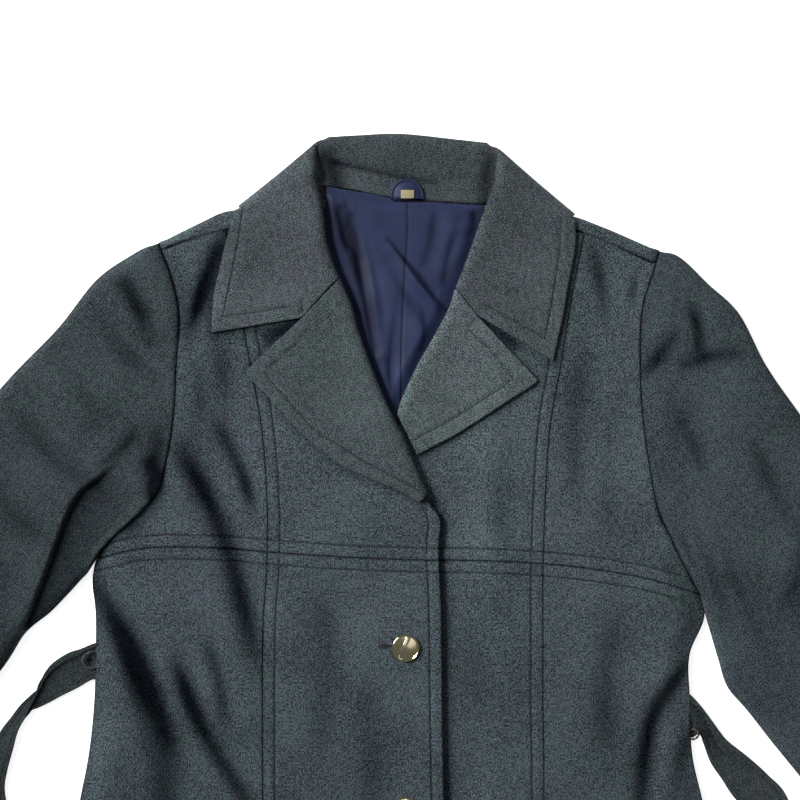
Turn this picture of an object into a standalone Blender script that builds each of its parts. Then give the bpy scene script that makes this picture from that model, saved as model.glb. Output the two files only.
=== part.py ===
"""A single-breasted wool coat with notched lapels and a tie belt, laid flat on its back.

The tables are in millimetres, as a tailor would chalk them: "across" runs to the viewer's right from the
coat's middle, "down" runs from the collar's top fold to the hem, and "up" is the height off the surface.
Meshes are in metres: X is across, Y points to the collar and Z is up.
"""

import math

import bmesh
import bpy
import numpy as np
from mathutils import Matrix, Vector

MM = 0.001

# Cloth, in millimetres.
WOOL = 2.2  # wall of a single wool panel
TURNED = 2.4  # wall of the collar and of the lapels
SATIN = 1.0  # wall of the lining
TIE = 2.6  # wall of a belt tie, two layers of wool
SEAM = 0.4  # gap that parts two pieces at a seam
REST = 0.45  # gap between a panel and the one that it lies on
LINING_REST = 0.7  # the same for the lining on the back
LEAF_GAP = 1.1  # gap between a lapel or the fall and the front below it

# Lengths, in millimetres.
COAT_LENGTH = 1021.0
LOFT = 3.2  # how far a front stands off the back between its seams
OVERLAP_LOFT = 0.6  # the same where one front lies under the other
TUCK = 6.0  # how far a front stops short of the roll line that it is folded into
TURN_BACK = 22.0  # width of the lapel's cloth that turns under at the roll line
SLEEVE_HEIGHT = 8.6
BUTTON_DIAMETER = 24.0
BUTTON_THICKNESS = 4.2
BUTTON_SPACING = 139.7
BUTTON_COUNT = 4
TOP_BUTTON_ACROSS = 4.8
TOP_BUTTON_DOWN = 442.3
TIE_WIDTH = 31.0
NECK_TILT = Matrix.Rotation(math.radians(4.5), 3, "X")  # slope of the tab and label over the neck seam

# Faces along and across a panel.
UPPER_ROWS = 12
CENTRE_UPPER_ROWS = 18
LOWER_ROWS = 13
SIDE_COLUMNS = 6
CENTRE_COLUMNS = 7


def table(columns, *rows):
    """A short table as a dictionary of its named columns."""
    return dict(zip(columns.split(), np.array(rows, float).T))


# Body sections from the shoulder to the hem. Above 400 the outer edges are the armholes.
BODY = table(
    "down left_edge left_princess right_princess right_edge",
    (80, -213.5, -149.9, 159.8, 228.0),
    (111, -200.4, -144.3, 153.4, 220.2),
    (148, -190.1, -137.8, 146.4, 209.0),
    (200, -191.8, -128.1, 138.5, 206.4),
    (247, -194.4, -119.5, 129.9, 209.0),
    (290, -202.1, -115.2, 126.4, 215.0),
    (324, -217.6, -113.5, 124.7, 221.9),
    (350, -242.5, -113.5, 123.8, 233.9),
    (380, -264.0, -114.4, 123.0, 249.4),
    (412, -261.0, -117.0, 123.0, 262.6),
    (449, -260.6, -117.8, 123.0, 249.5),
    (488, -263.2, -117.8, 123.0, 250.0),
    (539, -266.6, -117.8, 123.8, 252.5),
    (574, -273.5, -117.8, 123.8, 260.6),
    (746, -290.7, -122.1, 129.0, 282.1),
    (1021, -319.9, -129.0, 137.6, 313.9),
)

# The left front's inner edge: the lapel's roll line down to the break, then the free front edge.
LEFT_OPENING = table(
    "down across",
    (5, -72.2),
    (27, -74.0),
    (58, -67.1),
    (92, -62.8),
    (118, -53.3),
    (148, -41.3),
    (178, -32.7),
    (208, -21.5),
    (238, -8.6),
    (268, 6.9),
    (297, 17.2),
    (316, 27.5),
    (331, 34.4),
    (354, 33.4),
    (402, 35.3),
    (488, 36.4),
    (574, 37.8),
    (1021, 39.6),
)

# The right front's inner edge: its roll line, then the edge that lies hidden under the left front.
RIGHT_OPENING = table(
    "down across",
    (12, 86.0),
    (30, 84.3),
    (53, 77.4),
    (71, 70.5),
    (101, 60.2),
    (131, 49.0),
    (165, 34.4),
    (195, 17.2),
    (225, 2.6),
    (251, -6.9),
    (273, -17.2),
    (298, -23.2),
    (329, -24.1),
    (1021, -24.1),
)

# The seam under the bust, and the shoulder seams that top the fronts.
BUST_SEAM = table(
    "across down",
    (-264, 367.2),
    (-224, 357.8),
    (-172, 356.2),
    (-113, 360.3),
    (-52, 364.6),
    (36, 367.6),
    (86, 368.4),
    (125, 370.7),
    (172, 375.8),
    (215, 383.6),
    (263, 398.2),
)
SHOULDER_SEAM = table(
    "across down",
    (-207, 101.0),
    (-190, 95.0),
    (-172, 89.4),
    (-148, 82.6),
    (-92, 70.5),
    (98, 68.0),
    (149, 83.0),
    (172, 91.8),
    (206, 106.5),
    (224, 114.0),
)
SHOULDER_FOLD = table(
    "across down",
    (-207, 94.6),
    (-172, 77.4),
    (-150, 67.4),
    (-139, 65.8),
    (-125, 63.8),
    (-92, 58.0),
    (102, 58.0),
    (138, 70.0),
    (150, 72.2),
    (172, 80.0),
    (206, 94.6),
    (225, 102.6),
)

# Where the stand is sewn to the back neck.
NECK_SEAM = table(
    "across down",
    (-67, 43.9),
    (-43, 48.2),
    (-26, 50.7),
    (-7, 55.0),
    (6, 57.2),
    (17, 57.6),
    (43, 59.3),
    (73, 61.1),
)

# Sleeve sections from the armhole to the cuff: the outer fold and the underarm fold.
SLEEVES = {
    "left": table(
        "outer_across outer_down inner_across inner_down",
        (-206.4, 95.3, -265.0, 372.4),
        (-232.0, 108.5, -267.0, 374.5),
        (-262.0, 130.0, -270.0, 377.5),
        (-294.0, 170.5, -276.0, 382.5),
        (-333.0, 211.0, -287.0, 394.0),
        (-376.0, 261.0, -302.0, 410.5),
        (-424.0, 318.0, -322.0, 430.0),
        (-472.0, 375.5, -341.0, 462.0),
        (-526.0, 440.0, -392.0, 522.0),
        (-574.0, 497.0, -450.0, 585.0),
        (-621.0, 553.0, -508.0, 648.0),
    ),
    "right": table(
        "outer_across outer_down inner_across inner_down",
        (225.6, 103.6, 263.2, 411.9),
        (244.0, 111.5, 264.5, 416.0),
        (266.0, 133.0, 266.5, 423.0),
        (292.0, 158.5, 269.5, 433.0),
        (315.0, 203.0, 275.0, 451.0),
        (344.0, 245.1, 283.0, 474.0),
        (385.0, 301.0, 301.0, 495.0),
        (430.0, 363.0, 328.0, 529.0),
        (484.0, 437.0, 368.0, 576.0),
        (540.0, 515.0, 421.0, 628.0),
        (598.0, 594.5, 476.6, 682.7),
    ),
}

# The main folds: three points along each, its half width and its depth. A ridge's depth is below nought.
FOLDS = table(
    "across_1 down_1 across_2 down_2 across_3 down_3 half_width depth",
    (-185, 277, -146, 354, -119, 462, 9, 2.4),
    (-159, 247, -133, 307, -125, 328, 6, 1.2),
    (-258, 387, -232, 436, -193, 535, 10, 2.2),
    (-193, 449, -168, 509, -129, 574, 7, 2.4),
    (-168, 436, -156, 470, -150, 505, 5, 1.2),
    (-214, 420, -196, 470, -176, 540, 8, -1.6),
    (245, 460, 215, 505, 206, 574, 9, 2.2),
    (256, 505, 236, 540, 226, 590, 8, -1.4),
    (-156, 96, -172, 135, -181, 169, 7, 1.8),
    (163, 92, 172, 126, 176, 161, 7, 1.2),
    (-241, 283, -291, 337, -327, 429, 8, 3.4),
    (-221, 250, -262, 296, -296, 350, 9, -2.0),
    (-327, 429, -352, 500, -400, 560, 9, 2.2),
    (-241, 126, -226, 150, -212, 169, 10, 1.0),
    (234, 178, 222, 192, 211, 205, 6, 1.2),
    (241, 204, 270, 192, 292, 187, 6, 1.2),
    (245, 330, 262, 372, 280, 430, 8, 2.2),
    (268, 330, 290, 390, 330, 470, 10, -2.0),
    (420, 430, 400, 470, 372, 520, 10, 1.8),
    (-430, 400, -410, 440, -380, 490, 9, 1.8),
    (-160, 640, -180, 780, -205, 960, 16, 2.4),
    (-215, 660, -238, 790, -262, 940, 14, -1.8),
    (175, 650, 196, 790, 222, 970, 16, 2.4),
    (70, 700, 82, 820, 96, 980, 14, 1.6),
)

# The lapels: the outer edge and the roll line, from the seam with the collar down to the break.
LAPELS = {
    "left": table(
        "edge_across edge_down roll_across roll_down",
        (-131.6, 203.8, -51.4, 124.5),
        (-129.0, 210.7, -41.3, 148.0),
        (-116.0, 223.6, -37.0, 165.1),
        (-98.9, 242.5, -32.7, 178.0),
        (-73.1, 268.3, -21.5, 208.1),
        (-47.3, 287.2, -8.6, 238.2),
        (-21.5, 299.0, 2.6, 259.7),
        (0.0, 308.0, 13.8, 287.0),
        (17.2, 317.5, 24.0, 309.5),
    ),
    "right": table(
        "edge_across edge_down roll_across roll_down",
        (116.1, 209.8, 47.3, 133.3),
        (117.8, 213.5, 43.0, 147.9),
        (111.8, 218.6, 34.4, 165.1),
        (94.6, 229.3, 25.8, 180.6),
        (77.4, 240.6, 17.2, 195.2),
        (60.2, 252.0, 9.6, 210.5),
        (43.0, 262.3, 4.6, 221.5),
        (28.0, 270.0, 0.5, 231.5),
        (14.8, 277.0, -2.0, 241.5),
    ),
}
NOTCHES = {"left": (-84.3, 159.1), "right": (66.2, 156.5)}

# The collar. Each row is a section: the fall's outer edge, the roll line, and the seam of the stand.
COLLAR_FRONTS = {
    "left": table(
        "edge_across edge_down roll_across roll_down seam_across seam_down",
        (-161.7, 172.0, -51.9, 123.9, -67.5, 139.5),
        (-160.0, 142.0, -57.3, 111.0, -78.0, 119.0),
        (-153.5, 111.0, -62.8, 92.0, -84.0, 97.0),
        (-147.0, 86.0, -66.4, 64.0, -84.0, 69.0),
        (-141.5, 68.0, -72.0, 38.0, -80.0, 52.5),
    ),
    "right": table(
        "edge_across edge_down roll_across roll_down seam_across seam_down",
        (131.6, 196.1, 47.8, 132.7, 65.3, 146.0),
        (139.5, 160.0, 53.6, 118.0, 73.0, 127.0),
        (145.0, 128.0, 62.5, 94.0, 83.5, 99.0),
        (150.5, 98.0, 71.5, 68.0, 88.5, 73.0),
        (150.0, 76.0, 82.5, 38.0, 86.0, 58.0),
    ),
}
# Where the fall passes over the shoulders: one outer edge point, then the roll and seam round the corner.
COLLAR_FOLDS = {
    "left": {
        "edge": (-139.3, 62.8),
        "roll": ((-73.0, 29.0), (-72.4, 10.0), (-65.5, 3.0)),
        "seam": ((-76.0, 49.5), (-69.0, 45.5), (-62.5, 45.2)),
    },
    "right": {
        "edge": (150.5, 69.7),
        "roll": ((84.6, 30.0), (85.6, 15.5), (78.5, 8.6)),
        "seam": ((82.0, 58.0), (76.0, 59.8), (70.5, 60.8)),
    },
}
COLLAR_BACK = table(
    "edge_across edge_down roll_across roll_down seam_across seam_down",
    (-118.0, 62.5, -61.0, 2.4, -58.0, 45.9),
    (-60.0, 62.0, -40.0, 1.7, -38.0, 49.0),
    (0.0, 62.5, 0.0, 0.3, 0.0, 56.2),
    (70.0, 64.5, 45.0, 4.6, 44.0, 59.3),
    (128.0, 68.5, 74.0, 7.2, 66.0, 60.6),
)
STAND_UP = 9.4  # height of the stand at the roll behind the neck
SEAM_UP = 6.2  # height of the stand at the neck seam
BACK_RISE = 3.4  # how far the fall behind the neck lifts the back off the surface

# The ties, from the side seam outwards, and their height off the surface.
TIES = {
    "left": table(
        "across down up",
        (-261.4, 455.0, 1.6),
        (-276.0, 460.0, 1.6),
        (-291.0, 467.5, 1.6),
        (-306.0, 480.0, 2.0),
        (-321.0, 492.0, 3.6),
        (-331.0, 508.0, 4.2),
        (-338.0, 530.0, 2.6),
        (-342.0, 560.0, 1.8),
        (-341.0, 610.0, 1.6),
        (-344.0, 680.0, 1.6),
        (-352.0, 760.0, 1.6),
        (-350.0, 850.0, 1.6),
        (-362.0, 940.0, 1.6),
    ),
    "right": table(
        "across down up",
        (250.9, 501.0, 1.6),
        (260.0, 512.0, 1.6),
        (271.0, 527.0, 1.6),
        (284.0, 544.0, 1.6),
        (302.0, 562.0, 1.6),
        (320.0, 586.0, 1.6),
        (334.0, 622.0, 1.6),
        (340.0, 680.0, 1.6),
        (350.0, 760.0, 1.6),
        (347.0, 850.0, 1.6),
        (356.0, 940.0, 1.6),
        (360.0, 985.0, 1.6),
    ),
}
# The thread loops over the ties: how far down the middle of each is, and half its length.
LOOPS = {"left": (457.5, 19.0), "right": (509.0, 30.0)}


def smooth(stations, values, at):
    """A smooth curve through the values at the stations. Values may have several columns."""
    stations = np.asarray(stations, float)
    values = np.asarray(values, float)
    at = np.asarray(at, float)
    if values.ndim > 1:
        return np.stack([smooth(stations, column, at) for column in values.T], axis=-1)
    slopes = np.gradient(values, stations)
    before = np.clip(np.searchsorted(stations, at) - 1, 0, len(stations) - 2)
    step = stations[before + 1] - stations[before]
    t = np.clip((at - stations[before]) / step, 0, 1)
    return (
        (2 * t**3 - 3 * t**2 + 1) * values[before]
        + (t**3 - 2 * t**2 + t) * step * slopes[before]
        + (3 * t**2 - 2 * t**3) * values[before + 1]
        + (t**3 - t**2) * step * slopes[before + 1]
    )


def ease(start, end, value):
    """0 before start, 1 after end, and smooth between them."""
    t = np.clip((np.asarray(value, float) - start) / (end - start), 0, 1)
    return t * t * (3 - 2 * t)


def rows_of(columns, prefix, count):
    """The points of a table's columns such as edge_across and edge_down, at count even steps."""
    points = np.stack([columns[prefix + "_across"], columns[prefix + "_down"]], axis=1)
    return smooth(np.arange(len(points)), points, np.linspace(0, len(points) - 1, count))


def body_line(column, down):
    return smooth(BODY["down"], BODY[column], down)


def left_opening(down):
    return smooth(LEFT_OPENING["down"], LEFT_OPENING["across"], down)


def right_opening(down):
    return smooth(RIGHT_OPENING["down"], RIGHT_OPENING["across"], down)


def left_front_edge(down):
    """The left front's cut edge, tucked into the lapel's roll above the break."""
    near_neck = 16 * (1 - ease(65, 130, down))
    return left_opening(down) - (TUCK + near_neck) * (1 - ease(306, 334, down))


def right_front_edge(down):
    near_neck = 16 * (1 - ease(65, 130, down))
    return right_opening(down) + (TUCK + near_neck) * (1 - ease(252, 280, down))


def fold_depth(across, down):
    """How far the folds press the cloth down at each point."""
    across = np.asarray(across, float)
    down = np.asarray(down, float)
    total = np.zeros(np.broadcast(across, down).shape)
    along = np.linspace(0, 1, 15)
    for fold in range(len(FOLDS["depth"])):
        ends = [FOLDS[f"{axis}_{place}"][fold] for place in (1, 2, 3) for axis in ("across", "down")]
        line_across = smooth([0, 0.5, 1], ends[0::2], along)
        line_down = smooth([0, 0.5, 1], ends[1::2], along)
        apart = np.hypot(across[..., None] - line_across, down[..., None] - line_down)
        strength = np.sin(math.pi * np.clip(along, 0.04, 0.96)) ** 0.7
        shape = np.exp(-((apart / FOLDS["half_width"][fold]) ** 2)) * strength
        total = total + FOLDS["depth"][fold] * shape.max(axis=-1)
    return total


def back_low(across, down):
    """Underside of the back: flat on the surface, and raised where the fall lies under the neck."""
    over_fall = (1 - ease(64, 125, down)) * (1 - ease(132, 165, np.abs(np.asarray(across) - 6)))
    return BACK_RISE * over_fall


def back_top(across, down):
    return back_low(across, down) + WOOL


def side_fade(across, down):
    """0 at the side seams below the arms, and 1 from 30 mm inside them or above the underarm."""
    inside = np.minimum(
        across - body_line("left_edge", down), body_line("right_edge", down) - across
    )
    return 1 - ease(345, 395, down) * (1 - ease(0, 30, inside))


def front_lift(across, down):
    """How far a front would stand off the back with nothing between them."""
    plain = LOFT * side_fade(across, down) - fold_depth(across, down)
    return np.maximum(plain, 0)


def roll_room(distance, down, start, end):
    """Room under a front beside its roll line, for the lining and for the cloth that turns under."""
    room = LINING_REST + SATIN + TURNED + 1.5 - REST
    return room * (1 - ease(26, 62, distance)) * (1 - ease(start, end, down))


def right_front_low(across, down):
    under_left = 1 - ease(50, 88, across)
    below_break = ease(215, 250, down)
    lift = front_lift(across, down)
    lift = lift + (OVERLAP_LOFT - lift) * under_left * below_break
    room = roll_room(across - right_opening(down), down, 232, 270)
    return back_top(across, down) + REST + np.maximum(lift, room)


def left_front_low(across, down):
    lift = front_lift(across, down)
    room = roll_room(left_opening(down) - across, down, 400, 440)
    over_right = ease(200, 252, down) * ease(-82, -26, across)
    on_right = right_front_low(np.maximum(across, -24), down) + WOOL - back_top(across, down)
    with_turn_back = on_right + 0.5 + (TURNED + 0.8) * (1 - ease(322, 354, down))
    need = np.maximum(room * (1 - ease(318, 350, down)), with_turn_back * over_right)
    return back_top(across, down) + REST + np.maximum(lift, need)


def front_low(side, across, down):
    return left_front_low(across, down) if side == "left" else right_front_low(across, down)


def leaf_up(side, across, down):
    """Middle of the wall of a lapel or of the fall, where it lies on a front."""
    return front_low(side, across, down) + WOOL + LEAF_GAP + TURNED / 2


def turn_back_up(side, across, down):
    """Middle of the wall that turns under a front at its roll line, clear of the lining."""
    over_lining = back_top(across, down) + LINING_REST + SATIN + 0.35 + TURNED / 2
    return np.maximum(front_low(side, across, down) - 0.85 - TURNED / 2, over_lining)


def lining_low(across, down):
    return back_top(across, down) + LINING_REST


def material(name, colour, roughness, metallic=0.0):
    made = bpy.data.materials.new(name)
    made.use_nodes = True
    shader = made.node_tree.nodes["Principled BSDF"]
    shader.inputs["Base Color"].default_value = (*colour, 1)
    shader.inputs["Roughness"].default_value = roughness
    shader.inputs["Metallic"].default_value = metallic
    made.diffuse_color = (*colour, 1)
    return made


def place(points):
    """Points in millimetres, as across, down and up, made metres in the shared frame."""
    points = np.asarray(points, float)
    return np.stack([points[..., 0], COAT_LENGTH / 2 - points[..., 1], points[..., 2]], axis=-1) * MM


def object_of(name, mesh_data, finish):
    mesh = bpy.data.meshes.new(name)
    mesh_data.to_mesh(mesh)
    mesh_data.free()
    mesh.materials.append(finish)
    mesh.shade_smooth()
    mesh.set_sharp_from_angle(angle=math.radians(50))
    made = bpy.data.objects.new(name, mesh)
    bpy.context.collection.objects.link(made)
    return made


def grid_of(points):
    """A bmesh grid whose rows and columns take the places in a rows x columns x 3 array."""
    rows, columns = points.shape[:2]
    grid = bmesh.new()
    bmesh.ops.create_grid(grid, x_segments=columns - 1, y_segments=rows - 1, size=1)
    grid.verts.ensure_lookup_table()
    order = sorted(grid.verts, key=lambda v: (round(v.co.y, 4), round(v.co.x, 4)))
    for vert, point in zip(order, place(points).reshape(-1, 3)):
        vert.co = point
    return grid


def panel(name, low_points, wall, finish):
    """A panel: its underside as a grid, extruded straight up by the wall."""
    grid = grid_of(low_points)
    grown = bmesh.ops.extrude_face_region(grid, geom=list(grid.faces))
    top = [part for part in grown["geom"] if isinstance(part, bmesh.types.BMVert)]
    bmesh.ops.translate(grid, vec=Vector((0, 0, wall * MM)), verts=top)
    bmesh.ops.recalc_face_normals(grid, faces=list(grid.faces))
    return object_of(name, grid, finish)


def rolled(name, middle_points, wall, finish):
    """A turned piece: the middle of its wall as a grid, thickened to both sides."""
    grid = grid_of(middle_points)
    bmesh.ops.recalc_face_normals(grid, faces=list(grid.faces))
    made = object_of(name, grid, finish)
    solid = made.modifiers.new("Wall", "SOLIDIFY")
    solid.thickness = wall * MM
    solid.offset = 0
    solid.use_even_offset = False
    return made


def crossing(line, seam, guess):
    """How far down a line crosses a seam, found by stepping from a guess."""
    down = np.asarray(guess, float)
    for _ in range(14):
        down = smooth(seam["across"], seam["down"], line(down))
    return down


def seam_rows(top, bottom, rows):
    """Row positions from a panel's top seam to its bottom seam, a column for each point across."""
    share = np.linspace(0, 1, rows + 1)[:, None]
    return (top + SEAM / 2) * (1 - share) + (bottom - SEAM / 2) * share


def front_panel(side, place_name, level, finish):
    """One of the eight front panels, between two of the body's seams."""
    princess = f"{side}_princess"
    outer = f"{side}_edge"
    inner_edge = left_front_edge if side == "left" else right_front_edge
    columns = SIDE_COLUMNS if place_name == "side" else CENTRE_COLUMNS
    share = np.linspace(0, 1, columns + 1)[None, :]
    from_seam = 1 if side == "left" else -1
    if place_name == "side":
        near, far = (lambda d: body_line(outer, d)), (lambda d: body_line(princess, d))
    else:
        near, far = (lambda d: body_line(princess, d)), inner_edge
    near_gap = from_seam * SEAM / 2
    far_gap = -near_gap if place_name == "side" else 0

    def column_line(down):
        return near(down) * (1 - share[0]) + far(down) * share[0]

    bust = crossing(column_line, BUST_SEAM, np.full(columns + 1, 365.0))
    if level == "upper":
        shoulder = crossing(column_line, SHOULDER_SEAM, np.full(columns + 1, 85.0))
        down = seam_rows(shoulder, bust, UPPER_ROWS if place_name == "side" else CENTRE_UPPER_ROWS)
    else:
        down = seam_rows(bust, np.full(columns + 1, COAT_LENGTH), LOWER_ROWS)
    across = (near(down) + near_gap) * (1 - share) + (far(down) + far_gap) * share
    low = front_low(side, across, down)
    underside = np.stack([across, down, low], axis=-1)
    return panel(f"front_{side}_{place_name}_{level}", underside, WOOL, finish)


def armhole_line(side):
    """The armhole edge of a side as a function of how far down it is."""

    def line(down):
        return body_line(f"{side}_edge", down)

    return line


def armhole_stations(side):
    """The rows of the front's side panel along the armhole, which the sleeve shares."""
    line = armhole_line(side)
    top, bottom = crossing(line, SHOULDER_SEAM, 100.0), crossing(line, BUST_SEAM, 365.0)
    return np.linspace(top + SEAM / 2, bottom - SEAM / 2, UPPER_ROWS + 1)


def back_panel(finish):
    """The back, from the hem over the shoulder folds to the shoulder seams, open at the neck."""
    neck_start, neck_end = -96.0, 102.0
    columns = np.concatenate(
        [np.linspace(0, 0.22, 6), np.linspace(0.28, 0.72, 9), np.linspace(0.78, 1, 6)]
    )
    ends = [
        armhole_line(side)(crossing(armhole_line(side), SHOULDER_SEAM, 100.0)) for side in ("left", "right")
    ]
    top_across = np.concatenate(
        [
            np.linspace(ends[0] + SEAM / 2, neck_start, 6),
            np.linspace(neck_start + 10, neck_end - 6, 9),
            np.linspace(neck_end, ends[1] - SEAM / 2, 6),
        ]
    )
    at_neck = (top_across > neck_start) & (top_across < neck_end)
    neck_down = np.maximum(smooth(NECK_SEAM["across"], NECK_SEAM["down"], top_across) + 0.9, 57.0)
    fold_down = smooth(SHOULDER_FOLD["across"], SHOULDER_FOLD["down"], top_across)
    seam_down = smooth(SHOULDER_SEAM["across"], SHOULDER_SEAM["down"], top_across)
    on_left = left_front_low(top_across, seam_down)
    on_right = right_front_low(top_across, seam_down)
    top_up = np.where(top_across < 0, on_left, on_right)
    bottom_up = back_low(top_across, seam_down)
    middle_high = (top_up + bottom_up + WOOL) / 2
    radius = (top_up - bottom_up) / 2
    flat_top = np.where(at_neck, neck_down, fold_down + radius + WOOL / 2)
    underarm = (BUST_SEAM["down"][0], BUST_SEAM["down"][-1])
    break_down = underarm[0] + (underarm[1] - underarm[0]) * columns
    upper = seam_rows(flat_top, break_down, UPPER_ROWS)
    lower = seam_rows(break_down, np.full(len(columns), COAT_LENGTH), LOWER_ROWS)
    down = np.concatenate([upper, lower[1:]])
    left = body_line("left_edge", down) + SEAM / 2
    right = body_line("right_edge", down) - SEAM / 2
    across = left * (1 - columns) + right * columns
    to_top = (1 - ease(60, 330, down)) ** 2
    across = across * (1 - to_top) + top_across * to_top
    across[:, 0], across[:, -1] = left[:, 0], right[:, -1]
    middle = back_low(across, down) + WOOL / 2
    flat = np.stack([across, down, middle], axis=-1)[::-1]
    turn = []
    for angle in np.radians((45, 90, 135, 180)):
        turn.append(
            np.stack(
                [
                    across[0],
                    fold_down + WOOL / 2 + radius * (1 - math.sin(angle)),
                    middle_high - radius * math.cos(angle),
                ],
                axis=-1,
            )
        )
    strip_down = np.maximum(seam_down - SEAM / 2, turn[-1][:, 1] + 0.6)
    strip_end = np.stack([across[0], strip_down, turn[-1][:, 2]], axis=-1)
    points = np.concatenate([flat, np.array(turn), strip_end[None]])
    for column, edge, inwards in ((0, "left_edge", 1), (-1, "right_edge", -1)):
        points[:, column, 0] = body_line(edge, points[:, column, 1]) + inwards * SEAM / 2
    grid = grid_of(points)
    first_turn = len(flat) - 1
    rows, width = points.shape[:2]
    neck_faces = []
    order = sorted(grid.faces, key=lambda face: face.index)
    for index, face in enumerate(order):
        row, column = divmod(index, width - 1)
        if row >= first_turn and (at_neck[column] or at_neck[column + 1]):
            neck_faces.append(face)
    bmesh.ops.delete(grid, geom=neck_faces, context="FACES")
    bmesh.ops.recalc_face_normals(grid, faces=list(grid.faces))
    made = object_of("back", grid, finish)
    solid = made.modifiers.new("Wall", "SOLIDIFY")
    solid.thickness = WOOL * MM
    solid.offset = 0
    return made


def sleeve(side, finish):
    """A flattened tube: for each section, the upper layer, a fold, the flat underside and a fold."""
    rings = 15
    columns = SLEEVES[side]
    outer = rows_of(columns, "outer", rings)
    inner = rows_of(columns, "inner", rings)
    outward = -1 if side == "left" else 1
    stations = armhole_stations(side)
    share = (stations - stations[0]) / (stations[-1] - stations[0])
    armhole = body_line(f"{side}_edge", stations)
    chord = armhole[0] + (armhole[-1] - armhole[0]) * share
    bow = armhole - chord
    fold_width = 5.0
    ring_points = []
    for ring in range(rings):
        straighten = max(0.0, 1 - ring / 5) ** 1.5
        width = np.linalg.norm(inner[ring] - outer[ring])
        margin = fold_width / width
        if ring == 0:
            across = armhole + outward * (SEAM / 2 + 0.3)
            down = stations
        else:
            spread = margin + (1 - 2 * margin) * share
            path = outer[ring] + (inner[ring] - outer[ring]) * spread[:, None]
            across = path[:, 0] + bow * straighten
            down = path[:, 1]
        height = SLEEVE_HEIGHT + 0.9 * np.sin(math.pi * share) - fold_depth(across, down)
        height = np.maximum(height, 2 * WOOL + 0.8)
        if ring == 0:
            own_front = front_low(side, armhole, stations) + WOOL
            height = np.maximum(height, own_front + 0.3)
        end_points = []
        for end, sign in ((-1, 1), (0, -1)):
            fold_out = (inner[ring] - outer[ring]) / width * sign * (fold_width if ring else 1.0)
            high = height[end]
            angles = np.radians((45, 0, -45) if end == -1 else (-45, 0, 45))
            for angle in angles:
                end_points.append(
                    (
                        across[end] + fold_out[0] * math.cos(angle),
                        down[end] + fold_out[1] * math.cos(angle),
                        high / 2 * (1 + math.sin(angle)),
                    )
                )
        top = np.stack([across, down, height], axis=-1)
        bottom = np.stack([across, down, np.zeros_like(across)], axis=-1)[::-1]
        ring_points.append(np.concatenate([top, end_points[:3], bottom, end_points[3:], top[:1]]))
    points = np.array(ring_points)
    tube = grid_of(points)
    bmesh.ops.remove_doubles(tube, verts=list(tube.verts), dist=1e-6)
    bmesh.ops.recalc_face_normals(tube, faces=list(tube.faces))
    made = object_of(f"sleeve_{side}", tube, finish)
    top_face = max(made.data.polygons, key=lambda face: face.center.z)
    outwards = top_face.normal.z > 0
    solid = made.modifiers.new("Wall", "SOLIDIFY")
    solid.thickness = WOOL * MM
    solid.offset = -1 if outwards else 1
    return made


def bend(leaf_end, turn_start, roll, steps):
    """The rounded turn at the roll line, from the leaf's end to the start of the part that turns under."""
    leaf_way = leaf_end[:2] - roll
    turn_way = turn_start[:2] - roll
    lengths = np.linalg.norm(leaf_way) * np.linalg.norm(turn_way)
    folded = (1 + leaf_way @ turn_way / lengths) / 2
    reach = 0.5 + (4 / 3 - 0.5) * folded
    controls = []
    for point in (leaf_end, turn_start):
        control = point.copy()
        control[:2] = point[:2] + reach * (roll - point[:2])
        controls.append(control)
    t = np.linspace(0, 1, steps + 2)[1:-1, None]
    return (
        (1 - t) ** 3 * leaf_end
        + 3 * (1 - t) ** 2 * t * controls[0]
        + 3 * (1 - t) * t**2 * controls[1]
        + t**3 * turn_start
    )


def turned_section(leaf_line, roll, seam, leaf_height, turn_height):
    """A section from the outer edge along the leaf, round the roll line and on to the seam."""
    bend_reach = 7.0
    leaf_steps, bend_steps, turn_steps = 7, 5, 2
    start = np.asarray(leaf_line[0], float)
    middle = np.asarray(leaf_line[1], float)
    roll = np.asarray(roll, float)
    seam = np.asarray(seam, float)
    way = middle - roll
    leaf_end = roll + way / np.linalg.norm(way) * bend_reach
    first, second = np.linalg.norm(middle - start), np.linalg.norm(leaf_end - middle)
    along = np.linspace(0, first + second, leaf_steps + 1)
    marks = [0, first, first + second]
    leaf = np.column_stack([np.interp(along, marks, values) for values in zip(start, middle, leaf_end)])
    leaf = np.column_stack([leaf, [leaf_height(*point) for point in leaf]])
    way = seam - roll
    reach = min(bend_reach, 0.5 * np.linalg.norm(way))
    turn_start = roll + way / np.linalg.norm(way) * reach
    turned = turn_start + (seam - turn_start) * np.linspace(0, 1, turn_steps + 1)[:, None]
    turned = np.column_stack([turned, [turn_height(*point) for point in turned]])
    return np.concatenate([leaf, bend(leaf[-1], turned[0], roll, bend_steps), turned])


def lapel(side, finish):
    columns = LAPELS[side]
    sections = 15
    edges, rolls = rows_of(columns, "edge", sections), rows_of(columns, "roll", sections)
    outer_wall = TURNED / 2
    points = []
    for number, (edge, roll) in enumerate(zip(edges, rolls)):
        share = number / (sections - 1)
        away = (edge - roll) / np.linalg.norm(edge - roll)
        middle = np.asarray(NOTCHES[side]) if number == 0 else (edge + roll) / 2
        if number == 0:
            down_gap = np.array([0.0, SEAM / 2 + 0.1])
            edge, middle, roll = edge + down_gap, middle + down_gap, roll + down_gap
            away = (middle - roll) / np.linalg.norm(middle - roll)
        turn_width = TURN_BACK * (1 - share) + 3.0 * share
        inset = roll + away * outer_wall
        points.append(
            turned_section(
                (edge, middle),
                inset,
                inset + away * turn_width,
                lambda a, d: leaf_up(side, a, d),
                lambda a, d: turn_back_up(side, a, d),
            )
        )
    return rolled(f"lapel_{side}", np.array(points), TURNED, finish)


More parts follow.
